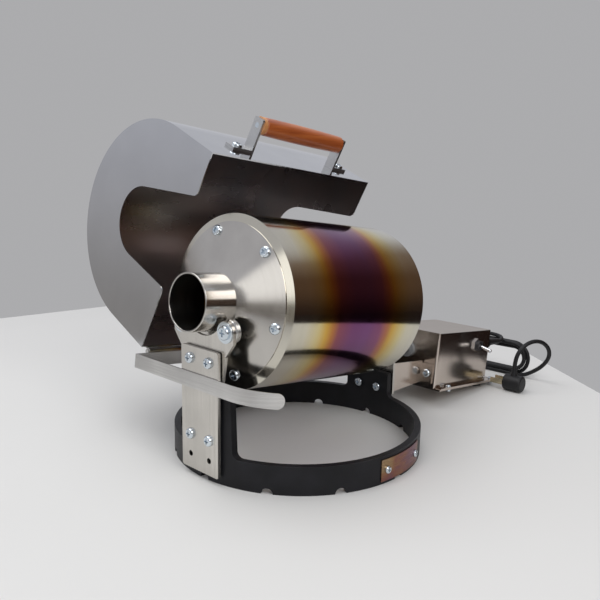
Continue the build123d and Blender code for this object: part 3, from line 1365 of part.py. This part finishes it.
def plug_blades():
    """Two flat blades side by side."""
    blades = []
    for y in (PLUG_Y - BLADE_SPACING / 2, PLUG_Y + BLADE_SPACING / 2):
        blade = block(
            PLUG_LEFT - BLADE_LENGTH, PLUG_LEFT,
            y - BLADE_THICKNESS / 2, y + BLADE_THICKNESS / 2,
            PLUG_RADIUS - BLADE_HEIGHT / 2, PLUG_RADIUS + BLADE_HEIGHT / 2,
        )
        blades.append(blade)
    return blades


def save(name, piece):
    if isinstance(piece, (list, tuple)):
        piece = Compound(children=[p.solid() for p in piece])
    export_step(piece, os.path.join("parts", name + ".step"))


def main():
    os.makedirs("parts", exist_ok=True)
    box_points = lead_from_box()
    plug_points = lead_to_plug()
    for name, points in (("lead from box", box_points), ("lead to plug", plug_points)):
        print(name, "radii", [round(r, 1) for r in corner_radii(points)])
    box_lead, box_length = tube(box_points, corner_radii(box_points))
    plug_lead, plug_length = tube(plug_points, corner_radii(plug_points))
    wire = hank_wire()
    section = Plane(origin=wire @ 0, z_dir=wire % 0) * Circle(CORD_RADIUS)
    hank = sweep(section, path=wire)
    area = math.pi * CORD_RADIUS ** 2
    for name, solid, length in (
        ("lead from box", box_lead, box_length),
        ("hank", hank, wire.length),
        ("lead to plug", plug_lead, plug_length),
    ):
        print(name, "length", round(length, 1), "volume share", round(solid.volume / (area * length), 4))
    print("hank least gap", round(least_gap(wire), 2))
    print("lead length", round(box_length + wire.length + plug_length, 1))

    save("ring_stand", ring_stand())
    save("badge_plate", badge_plate())
    save("badge_screws", badge_screws())
    save("front_post", front_post())
    save("front_post_screws", front_post_screws())
    save("front_post_nuts", front_post_nuts())
    save("saddle_spacers", saddle_spacers())
    save("roller_saddle", roller_saddle())
    save("roller_left", roller(-1))
    save("roller_right", roller(1))
    save("roller_sleeves", roller_sleeves())
    save("roller_screws", roller_screws())
    save("hood_frame", hood_frame())
    save("hinge_leaves_fixed", hinge_leaves_fixed())
    save("hinge_leaves_moving", hinge_leaves_moving())
    save("hinge_pins", hinge_pins())
    save("hood_shell", hood_shell())
    save("hood_front_plate", hood_plate(HOOD_FRONT))
    save("hood_rear_plate", hood_plate(HOOD_REAR - HOOD_SHEET))
    front_screw, rear_screw = strap_screw_places()
    save("handle_strap_front", handle_strap(GRIP_FRONT, -1, STRAP_FOOT_FRONT, front_screw))
    save("handle_strap_rear", handle_strap(GRIP_REAR, 1, STRAP_FOOT_REAR, rear_screw))
    save("handle_strap_screws", strap_screws())
    save("handle_strap_nuts", strap_nuts())
    save("handle_grip", handle_grip())
    save("handle_collar", handle_collar())
    save("handle_rod", handle_rod())
    save("drum_shell", drum_shell())
    save("drum_front_cone", drum_front_cone())
    save("neck_tube", neck_tube())
    save("cone_screws", cone_screws())
    save("cone_nuts", cone_nuts())
    save("drum_rear_disc", drum_rear_disc())
    save("rear_hub", rear_hub())
    save("hub_screws", hub_screws())
    save("rear_spindle", rear_spindle())
    save("stirring_vanes", stirring_vanes())
    save("drive_gear", drive_gear())
    save("motor_pinion", motor_pinion())
    save("rear_post", rear_post())
    save("rear_post_screws", rear_post_screws())
    save("rear_post_nuts", rear_post_nuts())
    save("bearing_block", bearing_block())
    save("rear_bushing", rear_bushing())
    save("motor_bracket", motor_bracket())
    save("bracket_bolts", bracket_bolts())
    save("motor_box_cover", motor_box_cover())
    save("motor_box_base", motor_box_base())
    save("base_bolts", base_bolts())
    save("rear_feet", rear_feet())
    save("gearmotor", gearmotor())
    save("toggle_switch", toggle_switch())
    save("toggle_nut", toggle_nut())
    save("toggle_lever", toggle_lever())
    save("strain_relief", strain_relief())
    save("lead_from_box", box_lead)
    save("lead_hank", hank)
    save("lead_to_plug", plug_lead)
    save("plug_body", plug_body())
    save("plug_blades", plug_blades())


main()
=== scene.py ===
"""Looks of the drum roaster: finishes, mains lead, a pale table and soft light. Metres."""

import math

import bpy
from mathutils import Matrix, Vector


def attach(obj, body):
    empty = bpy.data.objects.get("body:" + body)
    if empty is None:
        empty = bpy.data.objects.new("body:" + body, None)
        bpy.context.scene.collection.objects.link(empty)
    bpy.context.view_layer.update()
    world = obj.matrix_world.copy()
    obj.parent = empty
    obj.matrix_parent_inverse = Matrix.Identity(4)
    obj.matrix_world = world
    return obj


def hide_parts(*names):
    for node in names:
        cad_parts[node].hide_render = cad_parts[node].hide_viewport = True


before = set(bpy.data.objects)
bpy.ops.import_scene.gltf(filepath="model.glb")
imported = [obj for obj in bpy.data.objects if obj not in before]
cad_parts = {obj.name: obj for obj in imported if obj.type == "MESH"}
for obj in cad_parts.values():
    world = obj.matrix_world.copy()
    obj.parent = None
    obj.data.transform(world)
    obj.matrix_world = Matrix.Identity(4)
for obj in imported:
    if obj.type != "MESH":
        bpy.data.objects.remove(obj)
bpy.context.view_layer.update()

# Drum axis, the same as in the part
TILT = math.radians(6.8)
AXIS_POINT = Vector((0, 0, 0.1387))
ALONG = Vector((0, math.cos(TILT), -math.sin(TILT)))
ABOVE = Vector((0, math.sin(TILT), math.cos(TILT)))
HOOD_MIDDLE = AXIS_POINT + Vector((-0.1297, 0, 0)) + 0.0578 * ABOVE

# Camera, found from the photograph
FOCAL_PIXELS = 695.06
FRAME_PIXELS = 600
CAMERA_PLACE = Vector((0.43655, -0.470, 0.26212))
CAMERA_YAW = math.radians(42.89)
CAMERA_PITCH = math.radians(10.82)
CAMERA_ROLL = math.radians(-1.10)


def make_camera():
    data = bpy.data.cameras.new("camera")
    data.sensor_width = 36
    data.lens = FOCAL_PIXELS * data.sensor_width / FRAME_PIXELS
    data.clip_start, data.clip_end = 0.01, 50
    forward = Vector((
        -math.sin(CAMERA_YAW) * math.cos(CAMERA_PITCH),
        math.cos(CAMERA_YAW) * math.cos(CAMERA_PITCH),
        -math.sin(CAMERA_PITCH),
    ))
    level = Vector((math.cos(CAMERA_YAW), math.sin(CAMERA_YAW), 0))
    down = forward.cross(level)
    right = math.cos(CAMERA_ROLL) * level + math.sin(CAMERA_ROLL) * down
    up = math.sin(CAMERA_ROLL) * level - math.cos(CAMERA_ROLL) * down
    camera = bpy.data.objects.new("camera", data)
    bpy.context.scene.collection.objects.link(camera)
    camera.matrix_world = Matrix((
        (right.x, up.x, -forward.x, CAMERA_PLACE.x),
        (right.y, up.y, -forward.y, CAMERA_PLACE.y),
        (right.z, up.z, -forward.z, CAMERA_PLACE.z),
        (0, 0, 0, 1),
    ))
    bpy.context.scene.camera = camera


# Mains lead

LEAD_RADIUS = 0.0025
LEAD_EXIT = (0.033, 0.33764, 0.04806)
FROM_BOX = [
    LEAD_EXIT,
    (0.033, 0.34857, 0.04676),
    (0.027, 0.36104, 0.04856),
    (0.014, 0.368, 0.0485),
    (-0.006, 0.368, 0.0485),
]
TO_PLUG = [
    (0.059, 0.3623, 0.0025),
    (0.0733, 0.3614, 0.0111),
    (0.0859, 0.3592, 0.0216),
    (0.095, 0.3557, 0.0351),
    (0.097, 0.3472, 0.0491),
    (0.0926, 0.335, 0.0589),
    (0.0862, 0.3203, 0.0605),
    (0.0799, 0.3076, 0.0534),
    (0.076, 0.301, 0.0395),
    (0.076, 0.301, 0.026),
]
HANK_HALF = 0.042
HANK_REAR = 0.368
HANK_FRONT = 0.3623
HANK_TOP = 0.0485
FOLD_RADII = [0.023, 0.0202, 0.0174, 0.0146]
FOLD_STEPS = 6


def fold_points(y, start, radius, side):
    """Control points of one half turn, down at the left end and up at the right."""
    step = math.pi / FOLD_STEPS
    reach = radius / math.cos(step / 2)
    lead_in = reach * math.sin(step / 2)
    x, middle = side * HANK_HALF, start + side * radius
    points = [(x - side * lead_in, y, start)]
    for k in range(FOLD_STEPS):
        angle = (k + 0.5) * step
        across, down = side * reach * math.sin(angle), side * reach * math.cos(angle)
        points.append((x + across, y, middle - down))
    points.append((x - side * lead_in, y, start + 2 * side * radius))
    return points


def hank_points():
    """The folds wound inwards in the rear layer and outwards again in the front layer."""
    points = []
    height, side = HANK_TOP, -1
    for y, radii in ((HANK_REAR, FOLD_RADII), (HANK_FRONT, FOLD_RADII[:0:-1])):
        for radius in radii:
            points += fold_points(y, height, radius, side)
            height += 2 * side * radius
            side = -side
    return points


def make_lead():
    points = FROM_BOX + hank_points() + [(HANK_HALF, HANK_FRONT, LEAD_RADIUS)] + TO_PLUG
    curve = bpy.data.curves.new("mains_lead", "CURVE")
    curve.dimensions = "3D"
    curve.bevel_depth = 1.0
    curve.bevel_resolution = 5
    curve.resolution_u = 6
    curve.use_fill_caps = True
    spline = curve.splines.new("NURBS")
    spline.points.add(len(points) - 1)
    for point, place in zip(spline.points, points):
        point.co = (*place, 1)
        point.radius = LEAD_RADIUS
    spline.order_u = 3
    spline.use_endpoint_u = True
    lead = bpy.data.objects.new("mains_lead", curve)
    bpy.context.scene.collection.objects.link(lead)
    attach(lead, "stand")
    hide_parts("lead_from_box", "lead_hank", "lead_to_plug")
    return lead


# Finishes

class Finish:
    """A node material laid out in the object's own metres."""

    def __init__(self, name, **sockets):
        self.material = bpy.data.materials.new(name)
        self.material.use_nodes = True
        self.tree = self.material.node_tree
        self.shader = self.tree.nodes["Principled BSDF"]
        for socket, value in sockets.items():
            self.shader.inputs[socket.replace("_", " ")].default_value = value
        self.place = self.add("ShaderNodeTexCoord").outputs["Object"]

    def add(self, kind, inputs=None, **settings):
        node = self.tree.nodes.new(kind)
        for key, value in settings.items():
            setattr(node, key, value)
        for key, value in (inputs or {}).items():
            if isinstance(value, bpy.types.NodeSocket):
                self.tree.links.new(value, node.inputs[key])
            else:
                node.inputs[key].default_value = value
        return node

    def math(self, operation, a, b=0.0, clamp=False):
        return self.add("ShaderNodeMath", {0: a, 1: b}, operation=operation, use_clamp=clamp).outputs[0]

    def vector(self, operation, a, b=(0, 0, 0)):
        node = self.add("ShaderNodeVectorMath", {0: a, 1: b}, operation=operation)
        return node.outputs["Value" if operation in ("DOT_PRODUCT", "LENGTH") else "Vector"]

    def span(self, value, low, high, start=0.0, end=1.0):
        inputs = {"Value": value, "From Min": low, "From Max": high, "To Min": start, "To Max": end}
        return self.add("ShaderNodeMapRange", inputs, clamp=True).outputs["Result"]

    def noise(self, place, scale=1.0, detail=3.0, rough=0.5):
        inputs = {"Vector": place, "Scale": scale, "Detail": detail, "Roughness": rough}
        return self.add("ShaderNodeTexNoise", inputs).outputs["Fac"]

    def stretched(self, scale, place=None):
        return self.vector("MULTIPLY", place or self.place, scale)

    def ramp(self, value, stops):
        node = self.add("ShaderNodeValToRGB", {"Fac": value})
        marks = node.color_ramp.elements
        while len(marks) < len(stops):
            marks.new(0.5)
        for mark, (at, colour) in zip(marks, stops):
            mark.position = at
        for mark, (at, colour) in zip(marks, stops):
            mark.color = (*colour, 1)
        return node.outputs["Color"]

    def mix(self, share, a, b, blend="MIX"):
        a, b = ((*c, 1) if isinstance(c, tuple) else c for c in (a, b))
        inputs = {0: share, 6: a, 7: b}
        return self.add("ShaderNodeMix", inputs, data_type="RGBA", blend_type=blend).outputs[2]

    def use(self, socket, value):
        self.tree.links.new(value, self.shader.inputs[socket])

    def bump(self, height, distance, strength=1.0):
        inputs = {"Height": height, "Distance": distance, "Strength": strength}
        self.use("Normal", self.add("ShaderNodeBump", inputs).outputs["Normal"])

    def drum_place(self):
        """The place along and round the drum: across, along, above."""
        centred = self.vector("SUBTRACT", self.place, tuple(AXIS_POINT))
        across = self.vector("DOT_PRODUCT", centred, (1, 0, 0))
        along = self.vector("DOT_PRODUCT", centred, tuple(ALONG))
        above = self.vector("DOT_PRODUCT", centred, tuple(ABOVE))
        return self.add("ShaderNodeCombineXYZ", {0: across, 1: along, 2: above}).outputs[0], along

    def meridian_tangent(self):
        """A direction along the drum and out from it, so that gloss spreads across turned marks."""
        centred = self.vector("SUBTRACT", self.place, tuple(AXIS_POINT))
        along = self.vector("DOT_PRODUCT", centred, tuple(ALONG))
        scale = {0: tuple(ALONG), 3: along}
        on_axis = self.add("ShaderNodeVectorMath", scale, operation="SCALE").outputs[0]
        radial = self.vector("NORMALIZE", self.vector("SUBTRACT", centred, on_axis))
        summed = self.vector("ADD", radial, tuple(ALONG))
        turned = self.add(
            "ShaderNodeVectorTransform",
            {0: summed},
            vector_type="VECTOR",
            convert_from="OBJECT",
            convert_to="WORLD",
        )
        self.use("Tangent", turned.outputs[0])

    def edges(self, radius):
        """Near 1 on edges, 0 on open faces."""
        bevelled = self.add("ShaderNodeBevel", {"Radius": radius}, samples=4).outputs["Normal"]
        plain = self.add("ShaderNodeNewGeometry").outputs["Normal"]
        return self.span(self.vector("DOT_PRODUCT", bevelled, plain), 0.98, 0.8)


def metal(name, colour, roughness, marks, spread=0.07, shade=0.10, depth=0.00001, anisotropy=0.0):
    """Metal with drawn or brushed marks; marks is how fast they change along each axis, per metre."""
    f = Finish(name, Metallic=1.0, Roughness=roughness, Anisotropic=anisotropy)
    streaks = f.noise(f.stretched(marks), detail=4.0, rough=0.6)
    patches = f.noise(f.place, scale=22.0, detail=3.0)
    low = tuple(c * (1 - shade) for c in colour)
    high = tuple(min(1.0, c * (1 + shade)) for c in colour)
    worn = f.mix(f.span(patches, 0.3, 0.7), low, high)
    f.use("Base Color", f.mix(f.span(streaks, 0.35, 0.65, 0.0, 0.5), worn, low))
    drawn = f.span(streaks, 0.3, 0.7, roughness - spread, roughness + spread)
    f.use("Roughness", f.math("ADD", drawn, f.span(patches, 0.35, 0.75, 0.0, spread)))
    f.bump(streaks, depth)
    return f


def drum_finish():
    f = Finish("drum_finish", Metallic=1.0, Roughness=0.15, Anisotropic=0.5)
    place, along = f.drum_place()
    wander = f.noise(f.stretched((12, 26, 12), place), detail=2.0)
    shifted = f.math("ADD", along, f.span(wander, 0.2, 0.8, -0.004, 0.004))
    tint = f.ramp(f.span(shifted, -0.12, 0.10), [
        (0.0, (0.42, 0.40, 0.37)),
        (0.10, (0.60, 0.575, 0.52)),
        (0.22, (0.65, 0.61, 0.49)),
        (0.29, (0.68, 0.56, 0.27)),
        (0.335, (0.66, 0.40, 0.08)),
        (0.37, (0.50, 0.20, 0.06)),
        (0.41, (0.28, 0.085, 0.11)),
        (0.50, (0.19, 0.065, 0.17)),
        (0.60, (0.19, 0.07, 0.19)),
        (0.68, (0.25, 0.08, 0.16)),
        (0.725, (0.44, 0.16, 0.08)),
        (0.765, (0.62, 0.38, 0.07)),
        (0.82, (0.66, 0.55, 0.26)),
        (0.88, (0.66, 0.62, 0.48)),
        (1.0, (0.62, 0.60, 0.55)),
    ])
    streaks = f.noise(f.stretched((10, 1100, 10), place), detail=4.0, rough=0.65)
    broad = f.noise(f.stretched((16, 120, 16), place), detail=3.0)
    soiled = f.span(broad, 0.3, 0.7, 0.0, 0.08)
    f.use("Base Color", f.mix(soiled, tint, (0.30, 0.27, 0.25), "MULTIPLY"))
    drawn = f.span(streaks, 0.3, 0.7, 0.09, 0.15)
    f.use("Roughness", f.math("ADD", drawn, f.span(broad, 0.3, 0.7, 0.0, 0.04)))
    f.bump(streaks, 0.000003)
    f.meridian_tangent()
    return f


def cone_finish(name, colour):
    f = Finish(name, Metallic=1.0, Roughness=0.18, Anisotropic=0.6)
    place, along = f.drum_place()
    radius = f.vector("LENGTH", f.vector("MULTIPLY", place, (1, 0, 1)))
    turned = {0: f.math("MULTIPLY", radius, 1300.0), 1: f.math("MULTIPLY", along, 900.0)}
    rings = f.add("ShaderNodeCombineXYZ", turned).outputs[0]
    streaks = f.noise(f.vector("ADD", rings, f.stretched((9, 9, 9), place)), detail=4.0, rough=0.65)
    smears = f.noise(f.stretched((30, 30, 30), place), detail=3.0)
    low = tuple(c * 0.86 for c in colour)
    f.use("Base Color", f.mix(f.span(smears, 0.3, 0.7), low, colour))
    drawn = f.span(streaks, 0.3, 0.7, 0.12, 0.18)
    f.use("Roughness", f.math("ADD", drawn, f.span(smears, 0.35, 0.7, 0.0, 0.05)))
    f.bump(streaks, 0.0000025)
    f.meridian_tangent()
    return f


def hood_finish():
    """Polished sheet, painted darker and browner on the side that faces the drum, as painted shade
    under the hood.
    """
    f = Finish("hood_finish", Metallic=1.0, Roughness=0.1)
    normal = f.add("ShaderNodeTexCoord").outputs["Normal"]
    from_middle = f.vector("SUBTRACT", f.place, tuple(HOOD_MIDDLE))
    outward = f.vector("DOT_PRODUCT", normal, from_middle)
    inside = f.span(outward, 0.001, -0.001)
    rub = f.noise(f.stretched((18, 18, 18)), detail=4.0)
    grain = f.noise(f.stretched((60, 12, 60)), detail=3.0)
    tint_blotches = f.noise(f.stretched((14, 8, 14)), detail=3.0)
    bright = f.mix(f.span(rub, 0.3, 0.7), (0.55, 0.555, 0.575), (0.60, 0.605, 0.625))
    # Painted shade: the side facing the drum gets a darker, browner colour than the outer side, in
    # blotches.
    painted_inner_shade = f.ramp(f.span(tint_blotches, 0.3, 0.7), [
        (0.0, (0.38, 0.375, 0.385)),
        (0.5, (0.42, 0.385, 0.385)),
        (1.0, (0.44, 0.37, 0.355)),
    ])
    f.use("Base Color", f.mix(inside, bright, painted_inner_shade))
    smooth = f.math("ADD", f.span(grain, 0.3, 0.7, 0.05, 0.10), f.span(rub, 0.4, 0.75, 0.0, 0.06))
    f.use("Roughness", f.math("ADD", smooth, f.math("MULTIPLY", inside, 0.20)))
    f.bump(f.noise(f.place, scale=6.0, detail=1.0), 0.002, 0.05)
    return f


def paint_finish():
    """Satin black paint, rubbed thin along its edges."""
    f = Finish("paint_finish", Roughness=0.42, Specular_IOR_Level=0.22)
    pebble = f.noise(f.place, scale=900.0, detail=3.0)
    dust = f.noise(f.place, scale=35.0, detail=4.0)
    black = f.mix(f.span(dust, 0.35, 0.7), (0.008, 0.008, 0.0095), (0.015, 0.015, 0.018))
    rubbed = f.math("MULTIPLY", f.edges(0.0006), f.span(dust, 0.35, 0.6, 0.15, 0.8))
    f.use("Base Color", f.mix(rubbed, black, (0.06, 0.06, 0.065)))
    fine = f.span(pebble, 0.3, 0.7, 0.34, 0.48)
    f.use("Roughness", f.math("ADD", fine, f.span(dust, 0.3, 0.7, 0.0, 0.08)))
    f.bump(pebble, 0.00004, 0.35)
    return f


def badge_finish():
    f = Finish("badge_finish", Metallic=1.0, Roughness=0.3)
    tint_blotches = f.noise(f.stretched((30, 30, 60)), detail=3.0)
    slope = f.span(f.vector("DOT_PRODUCT", f.place, (0.4, 0.2, -1.0)), 0.0, 0.05, -0.25, 0.25)
    tint = f.ramp(f.math("ADD", f.span(tint_blotches, 0.3, 0.7), slope), [
        (0.0, (0.34, 0.25, 0.17)),
        (0.35, (0.38, 0.25, 0.13)),
        (0.6, (0.33, 0.17, 0.09)),
        (0.8, (0.28, 0.12, 0.09)),
        (1.0, (0.22, 0.10, 0.13)),
    ])
    hair = f.noise(f.stretched((60, 60, 1400)), detail=4.0)
    f.use("Base Color", f.mix(f.span(hair, 0.35, 0.65, 0.0, 0.3), tint, (0.14, 0.10, 0.08)))
    f.use("Roughness", f.span(hair, 0.3, 0.7, 0.24, 0.38))
    f.bump(hair, 0.00001)
    return f


def wood_finish():
    """Varnished red-brown wood, its grain along the grip, paler at the front end."""
    f = Finish("wood_finish", Roughness=0.4, Coat_Weight=0.35, Coat_Roughness=0.15)
    along = f.vector("DOT_PRODUCT", f.vector("SUBTRACT", f.place, tuple(AXIS_POINT)), tuple(ALONG))
    grain = f.noise(f.stretched((260, 14, 260)), detail=5.0, rough=0.6)
    bands = f.noise(f.stretched((90, 5, 90)), detail=2.0)
    colour = f.ramp(f.math("ADD", f.math("MULTIPLY", grain, 0.6), f.math("MULTIPLY", bands, 0.4)), [
        (0.30, (0.17, 0.035, 0.010)),
        (0.45, (0.32, 0.072, 0.018)),
        (0.55, (0.42, 0.105, 0.024)),
        (0.70, (0.52, 0.16, 0.040)),
    ])
    pale = f.span(along, -0.0385, -0.0392)
    f.use("Base Color", f.mix(pale, colour, (0.60, 0.27, 0.10)))
    f.use("Roughness", f.span(grain, 0.3, 0.7, 0.30, 0.46))
    f.bump(grain, 0.00004, 0.4)
    return f


def plain_finish(name, colour, roughness, scale, depth, shade=0.35, **sockets):
    """Plastic, rubber or paint with a fine texture and patches of handling wear."""
    f = Finish(name, Roughness=roughness, **sockets)
    fine = f.noise(f.place, scale=scale, detail=4.0)
    patches = f.noise(f.place, scale=45.0, detail=3.0)
    high = tuple(c * (1 + shade) for c in colour)
    f.use("Base Color", f.mix(f.span(patches, 0.35, 0.7), colour, high))
    grain = f.span(fine, 0.3, 0.7, roughness - 0.06, roughness + 0.06)
    f.use("Roughness", f.math("ADD", grain, f.span(patches, 0.4, 0.7, 0.0, 0.08)))
    f.bump(fine, depth, 0.5)
    return f


def make_finishes():
    return {
        "black_paint": paint_finish(),
        "post_steel": metal(
            "post_finish", (0.60, 0.575, 0.535), 0.2, (700, 700, 10),
            spread=0.05, shade=0.16, depth=0.000004,
        ),
        "band_steel": metal(
            "band_finish", (0.60, 0.59, 0.575), 0.2, (10, 10, 900),
            spread=0.05, shade=0.18, depth=0.000004,
        ),
        "hood_sheet": hood_finish(),
        "drum_steel": drum_finish(),
        "badge_steel": badge_finish(),
        "zinc_screws": metal(
            "zinc_finish", (0.66, 0.72, 0.77), 0.15, (400, 400, 400), spread=0.04, depth=0.000002,
        ),
        "machined_steel": metal("machined_finish", (0.62, 0.61, 0.585), 0.22, (60, 1400, 60)),
        "bronze": metal("bronze_finish", (0.55, 0.36, 0.17), 0.3, (60, 1400, 60)),
        "box_steel": metal(
            "box_finish", (0.58, 0.51, 0.455), 0.17, (90, 90, 12),
            spread=0.02, shade=0.06, depth=0.000001,
        ),
        "motor_grey": plain_finish("motor_finish", (0.20, 0.205, 0.21), 0.45, 700.0, 0.00003),
        "strap_steel": metal(
            "strap_finish", (0.56, 0.56, 0.56), 0.3, (900, 60, 900), spread=0.05, depth=0.000004,
        ),
        "grip_wood": wood_finish(),
        "switch_plastic": plain_finish("switch_finish", (0.016, 0.016, 0.018), 0.4, 900.0, 0.00003),
        "switch_chrome": metal("chrome_finish", (0.68, 0.69, 0.70), 0.1, (300, 300, 300), spread=0.04),
        "foot_rubber": plain_finish("foot_finish", (0.022, 0.022, 0.022), 0.75, 600.0, 0.00008),
        "lead_rubber": plain_finish(
            "lead_finish", (0.009, 0.009, 0.010), 0.46, 500.0, 0.00006, Specular_IOR_Level=0.3,
        ),
        "plug_plastic": plain_finish(
            "plug_finish", (0.010, 0.010, 0.011), 0.42, 800.0, 0.00005, Specular_IOR_Level=0.3,
        ),
        "blade_brass": metal("blade_finish", (0.66, 0.58, 0.40), 0.25, (40, 900, 900)),
    }


def dress(finishes):
    """Gives every CAD node the finish of its slot."""
    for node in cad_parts.values():
        for slot in node.material_slots:
            slot.material = finishes[slot.material.name.split(".")[0]].material
    turned = cone_finish("cone_finish", (0.58, 0.555, 0.52)).material
    for name in ("drum_front_cone", "neck_tube", "drum_rear_disc"):
        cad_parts[name].material_slots[0].material = turned
    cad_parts["motor_bracket"].material_slots[0].material = finishes["box_steel"].material


# Floor and light

TABLE_CORNERS = ((-1.04, -2.2), (2.2, -2.2), (2.2, -1.229), (-0.09, 0.561), (-0.66, 0.45))


def make_floor():
    """A pale table whose far edges are where the photograph shows them."""
    mesh = bpy.data.meshes.new("floor")
    mesh.from_pydata([(x, y, 0) for x, y in TABLE_CORNERS], [], [range(len(TABLE_CORNERS))])
    floor = bpy.data.objects.new("floor", mesh)
    bpy.context.scene.collection.objects.link(floor)
    f = Finish("floor_finish", Roughness=0.6)
    cloud = f.noise(f.place, scale=3.0, detail=2.0)
    f.use("Base Color", f.mix(cloud, (0.675, 0.67, 0.65), (0.715, 0.71, 0.69)))
    mesh.materials.append(f.material)


def make_lamp(name, place, aim, width, height, power):
    data = bpy.data.lights.new(name, "AREA")
    data.shape = "RECTANGLE"
    data.size, data.size_y, data.energy = width, height, power
    lamp = bpy.data.objects.new(name, data)
    bpy.context.scene.collection.objects.link(lamp)
    lamp.location = place
    lamp.rotation_mode = "QUATERNION"
    lamp.rotation_quaternion = (Vector(aim) - Vector(place)).to_track_quat("-Z", "Y")


def make_world():
    """Pale behind the object; metal mirrors a room with one dark side, a window and a lamp."""
    world = bpy.data.worlds.new("world")
    bpy.context.scene.world = world
    world.use_nodes = True
    tree = world.node_tree
    tree.nodes.clear()

    def add(kind, inputs, **settings):
        node = tree.nodes.new(kind)
        for key, value in settings.items():
            setattr(node, key, value)
        for key, value in inputs.items():
            if isinstance(value, bpy.types.NodeSocket):
                tree.links.new(value, node.inputs[key])
            else:
                node.inputs[key].default_value = value
        return node

    def toward(direction):
        inputs = {0: way, 1: tuple(Vector(direction).normalized())}
        return add("ShaderNodeVectorMath", inputs, operation="DOT_PRODUCT").outputs["Value"]

    def step(value, start, end):
        inputs = {0: value, 1: start, 2: end}
        return add("ShaderNodeMapRange", inputs, interpolation_type="SMOOTHSTEP").outputs[0]

    def both(a, b):
        return add("ShaderNodeMath", {0: a, 1: b}, operation="MULTIPLY").outputs[0]

    def blend(share, a, b):
        a, b = ((*c, 1) if isinstance(c, tuple) else c for c in (a, b))
        return add("ShaderNodeMix", {0: share, 6: a, 7: b}, data_type="RGBA").outputs[2]

    way = add("ShaderNodeTexCoord", {}).outputs["Generated"]
    height = add("ShaderNodeSeparateXYZ", {0: way}).outputs[2]
    # Light walls, a dim front with a window in it, a dark side, and a thin lamp above
    room = blend(step(height, -0.12, 0.25), (0.33, 0.315, 0.30), (0.57, 0.58, 0.62))
    room = blend(step(toward((-0.12, -0.99, 0)), 0.90, 0.96), room, (0.22, 0.205, 0.19))
    room = blend(step(toward((-0.27, -0.93, 0.23)), 0.980, 0.992), room, (1.5, 1.5, 1.5))
    dark = both(step(toward((0.80, 0.60, 0)), 0.2, 0.6), step(height, 0.62, 0.48))
    shade = blend(step(height, 0.56, 0.28), (0.22, 0.165, 0.13), (0.095, 0.055, 0.034))
    shade = blend(step(height, 0.25, -0.3), shade, (0.014, 0.009, 0.009))
    room = blend(dark, room, shade)
    strip = both(step(height, 0.64, 0.655), step(height, 0.69, 0.675))
    room = blend(both(strip, step(toward((0, 1, 0)), 0.70, 0.80)), room, (1.3, 1.3, 1.45))
    ray = add("ShaderNodeLightPath", {}).outputs
    seen = blend(ray["Is Camera Ray"], room, (0.41, 0.41, 0.42))
    background = add("ShaderNodeBackground", {"Color": seen})
    add("ShaderNodeOutputWorld", {"Surface": background.outputs[0]})


make_camera()
lead = make_lead()
finishes = make_finishes()
dress(finishes)
lead.data.materials.append(finishes["lead_rubber"].material)
make_floor()
make_world()
make_lamp("key_lamp", (-0.35, -0.25, 1.3), (0, 0.1, 0.1), width=1.1, height=0.9, power=9)
make_lamp("side_lamp", (1.3, -0.5, 1.1), (0.2, 0.15, 0.1), width=0.9, height=0.9, power=10)
bpy.context.scene.view_settings.view_transform = "Standard"
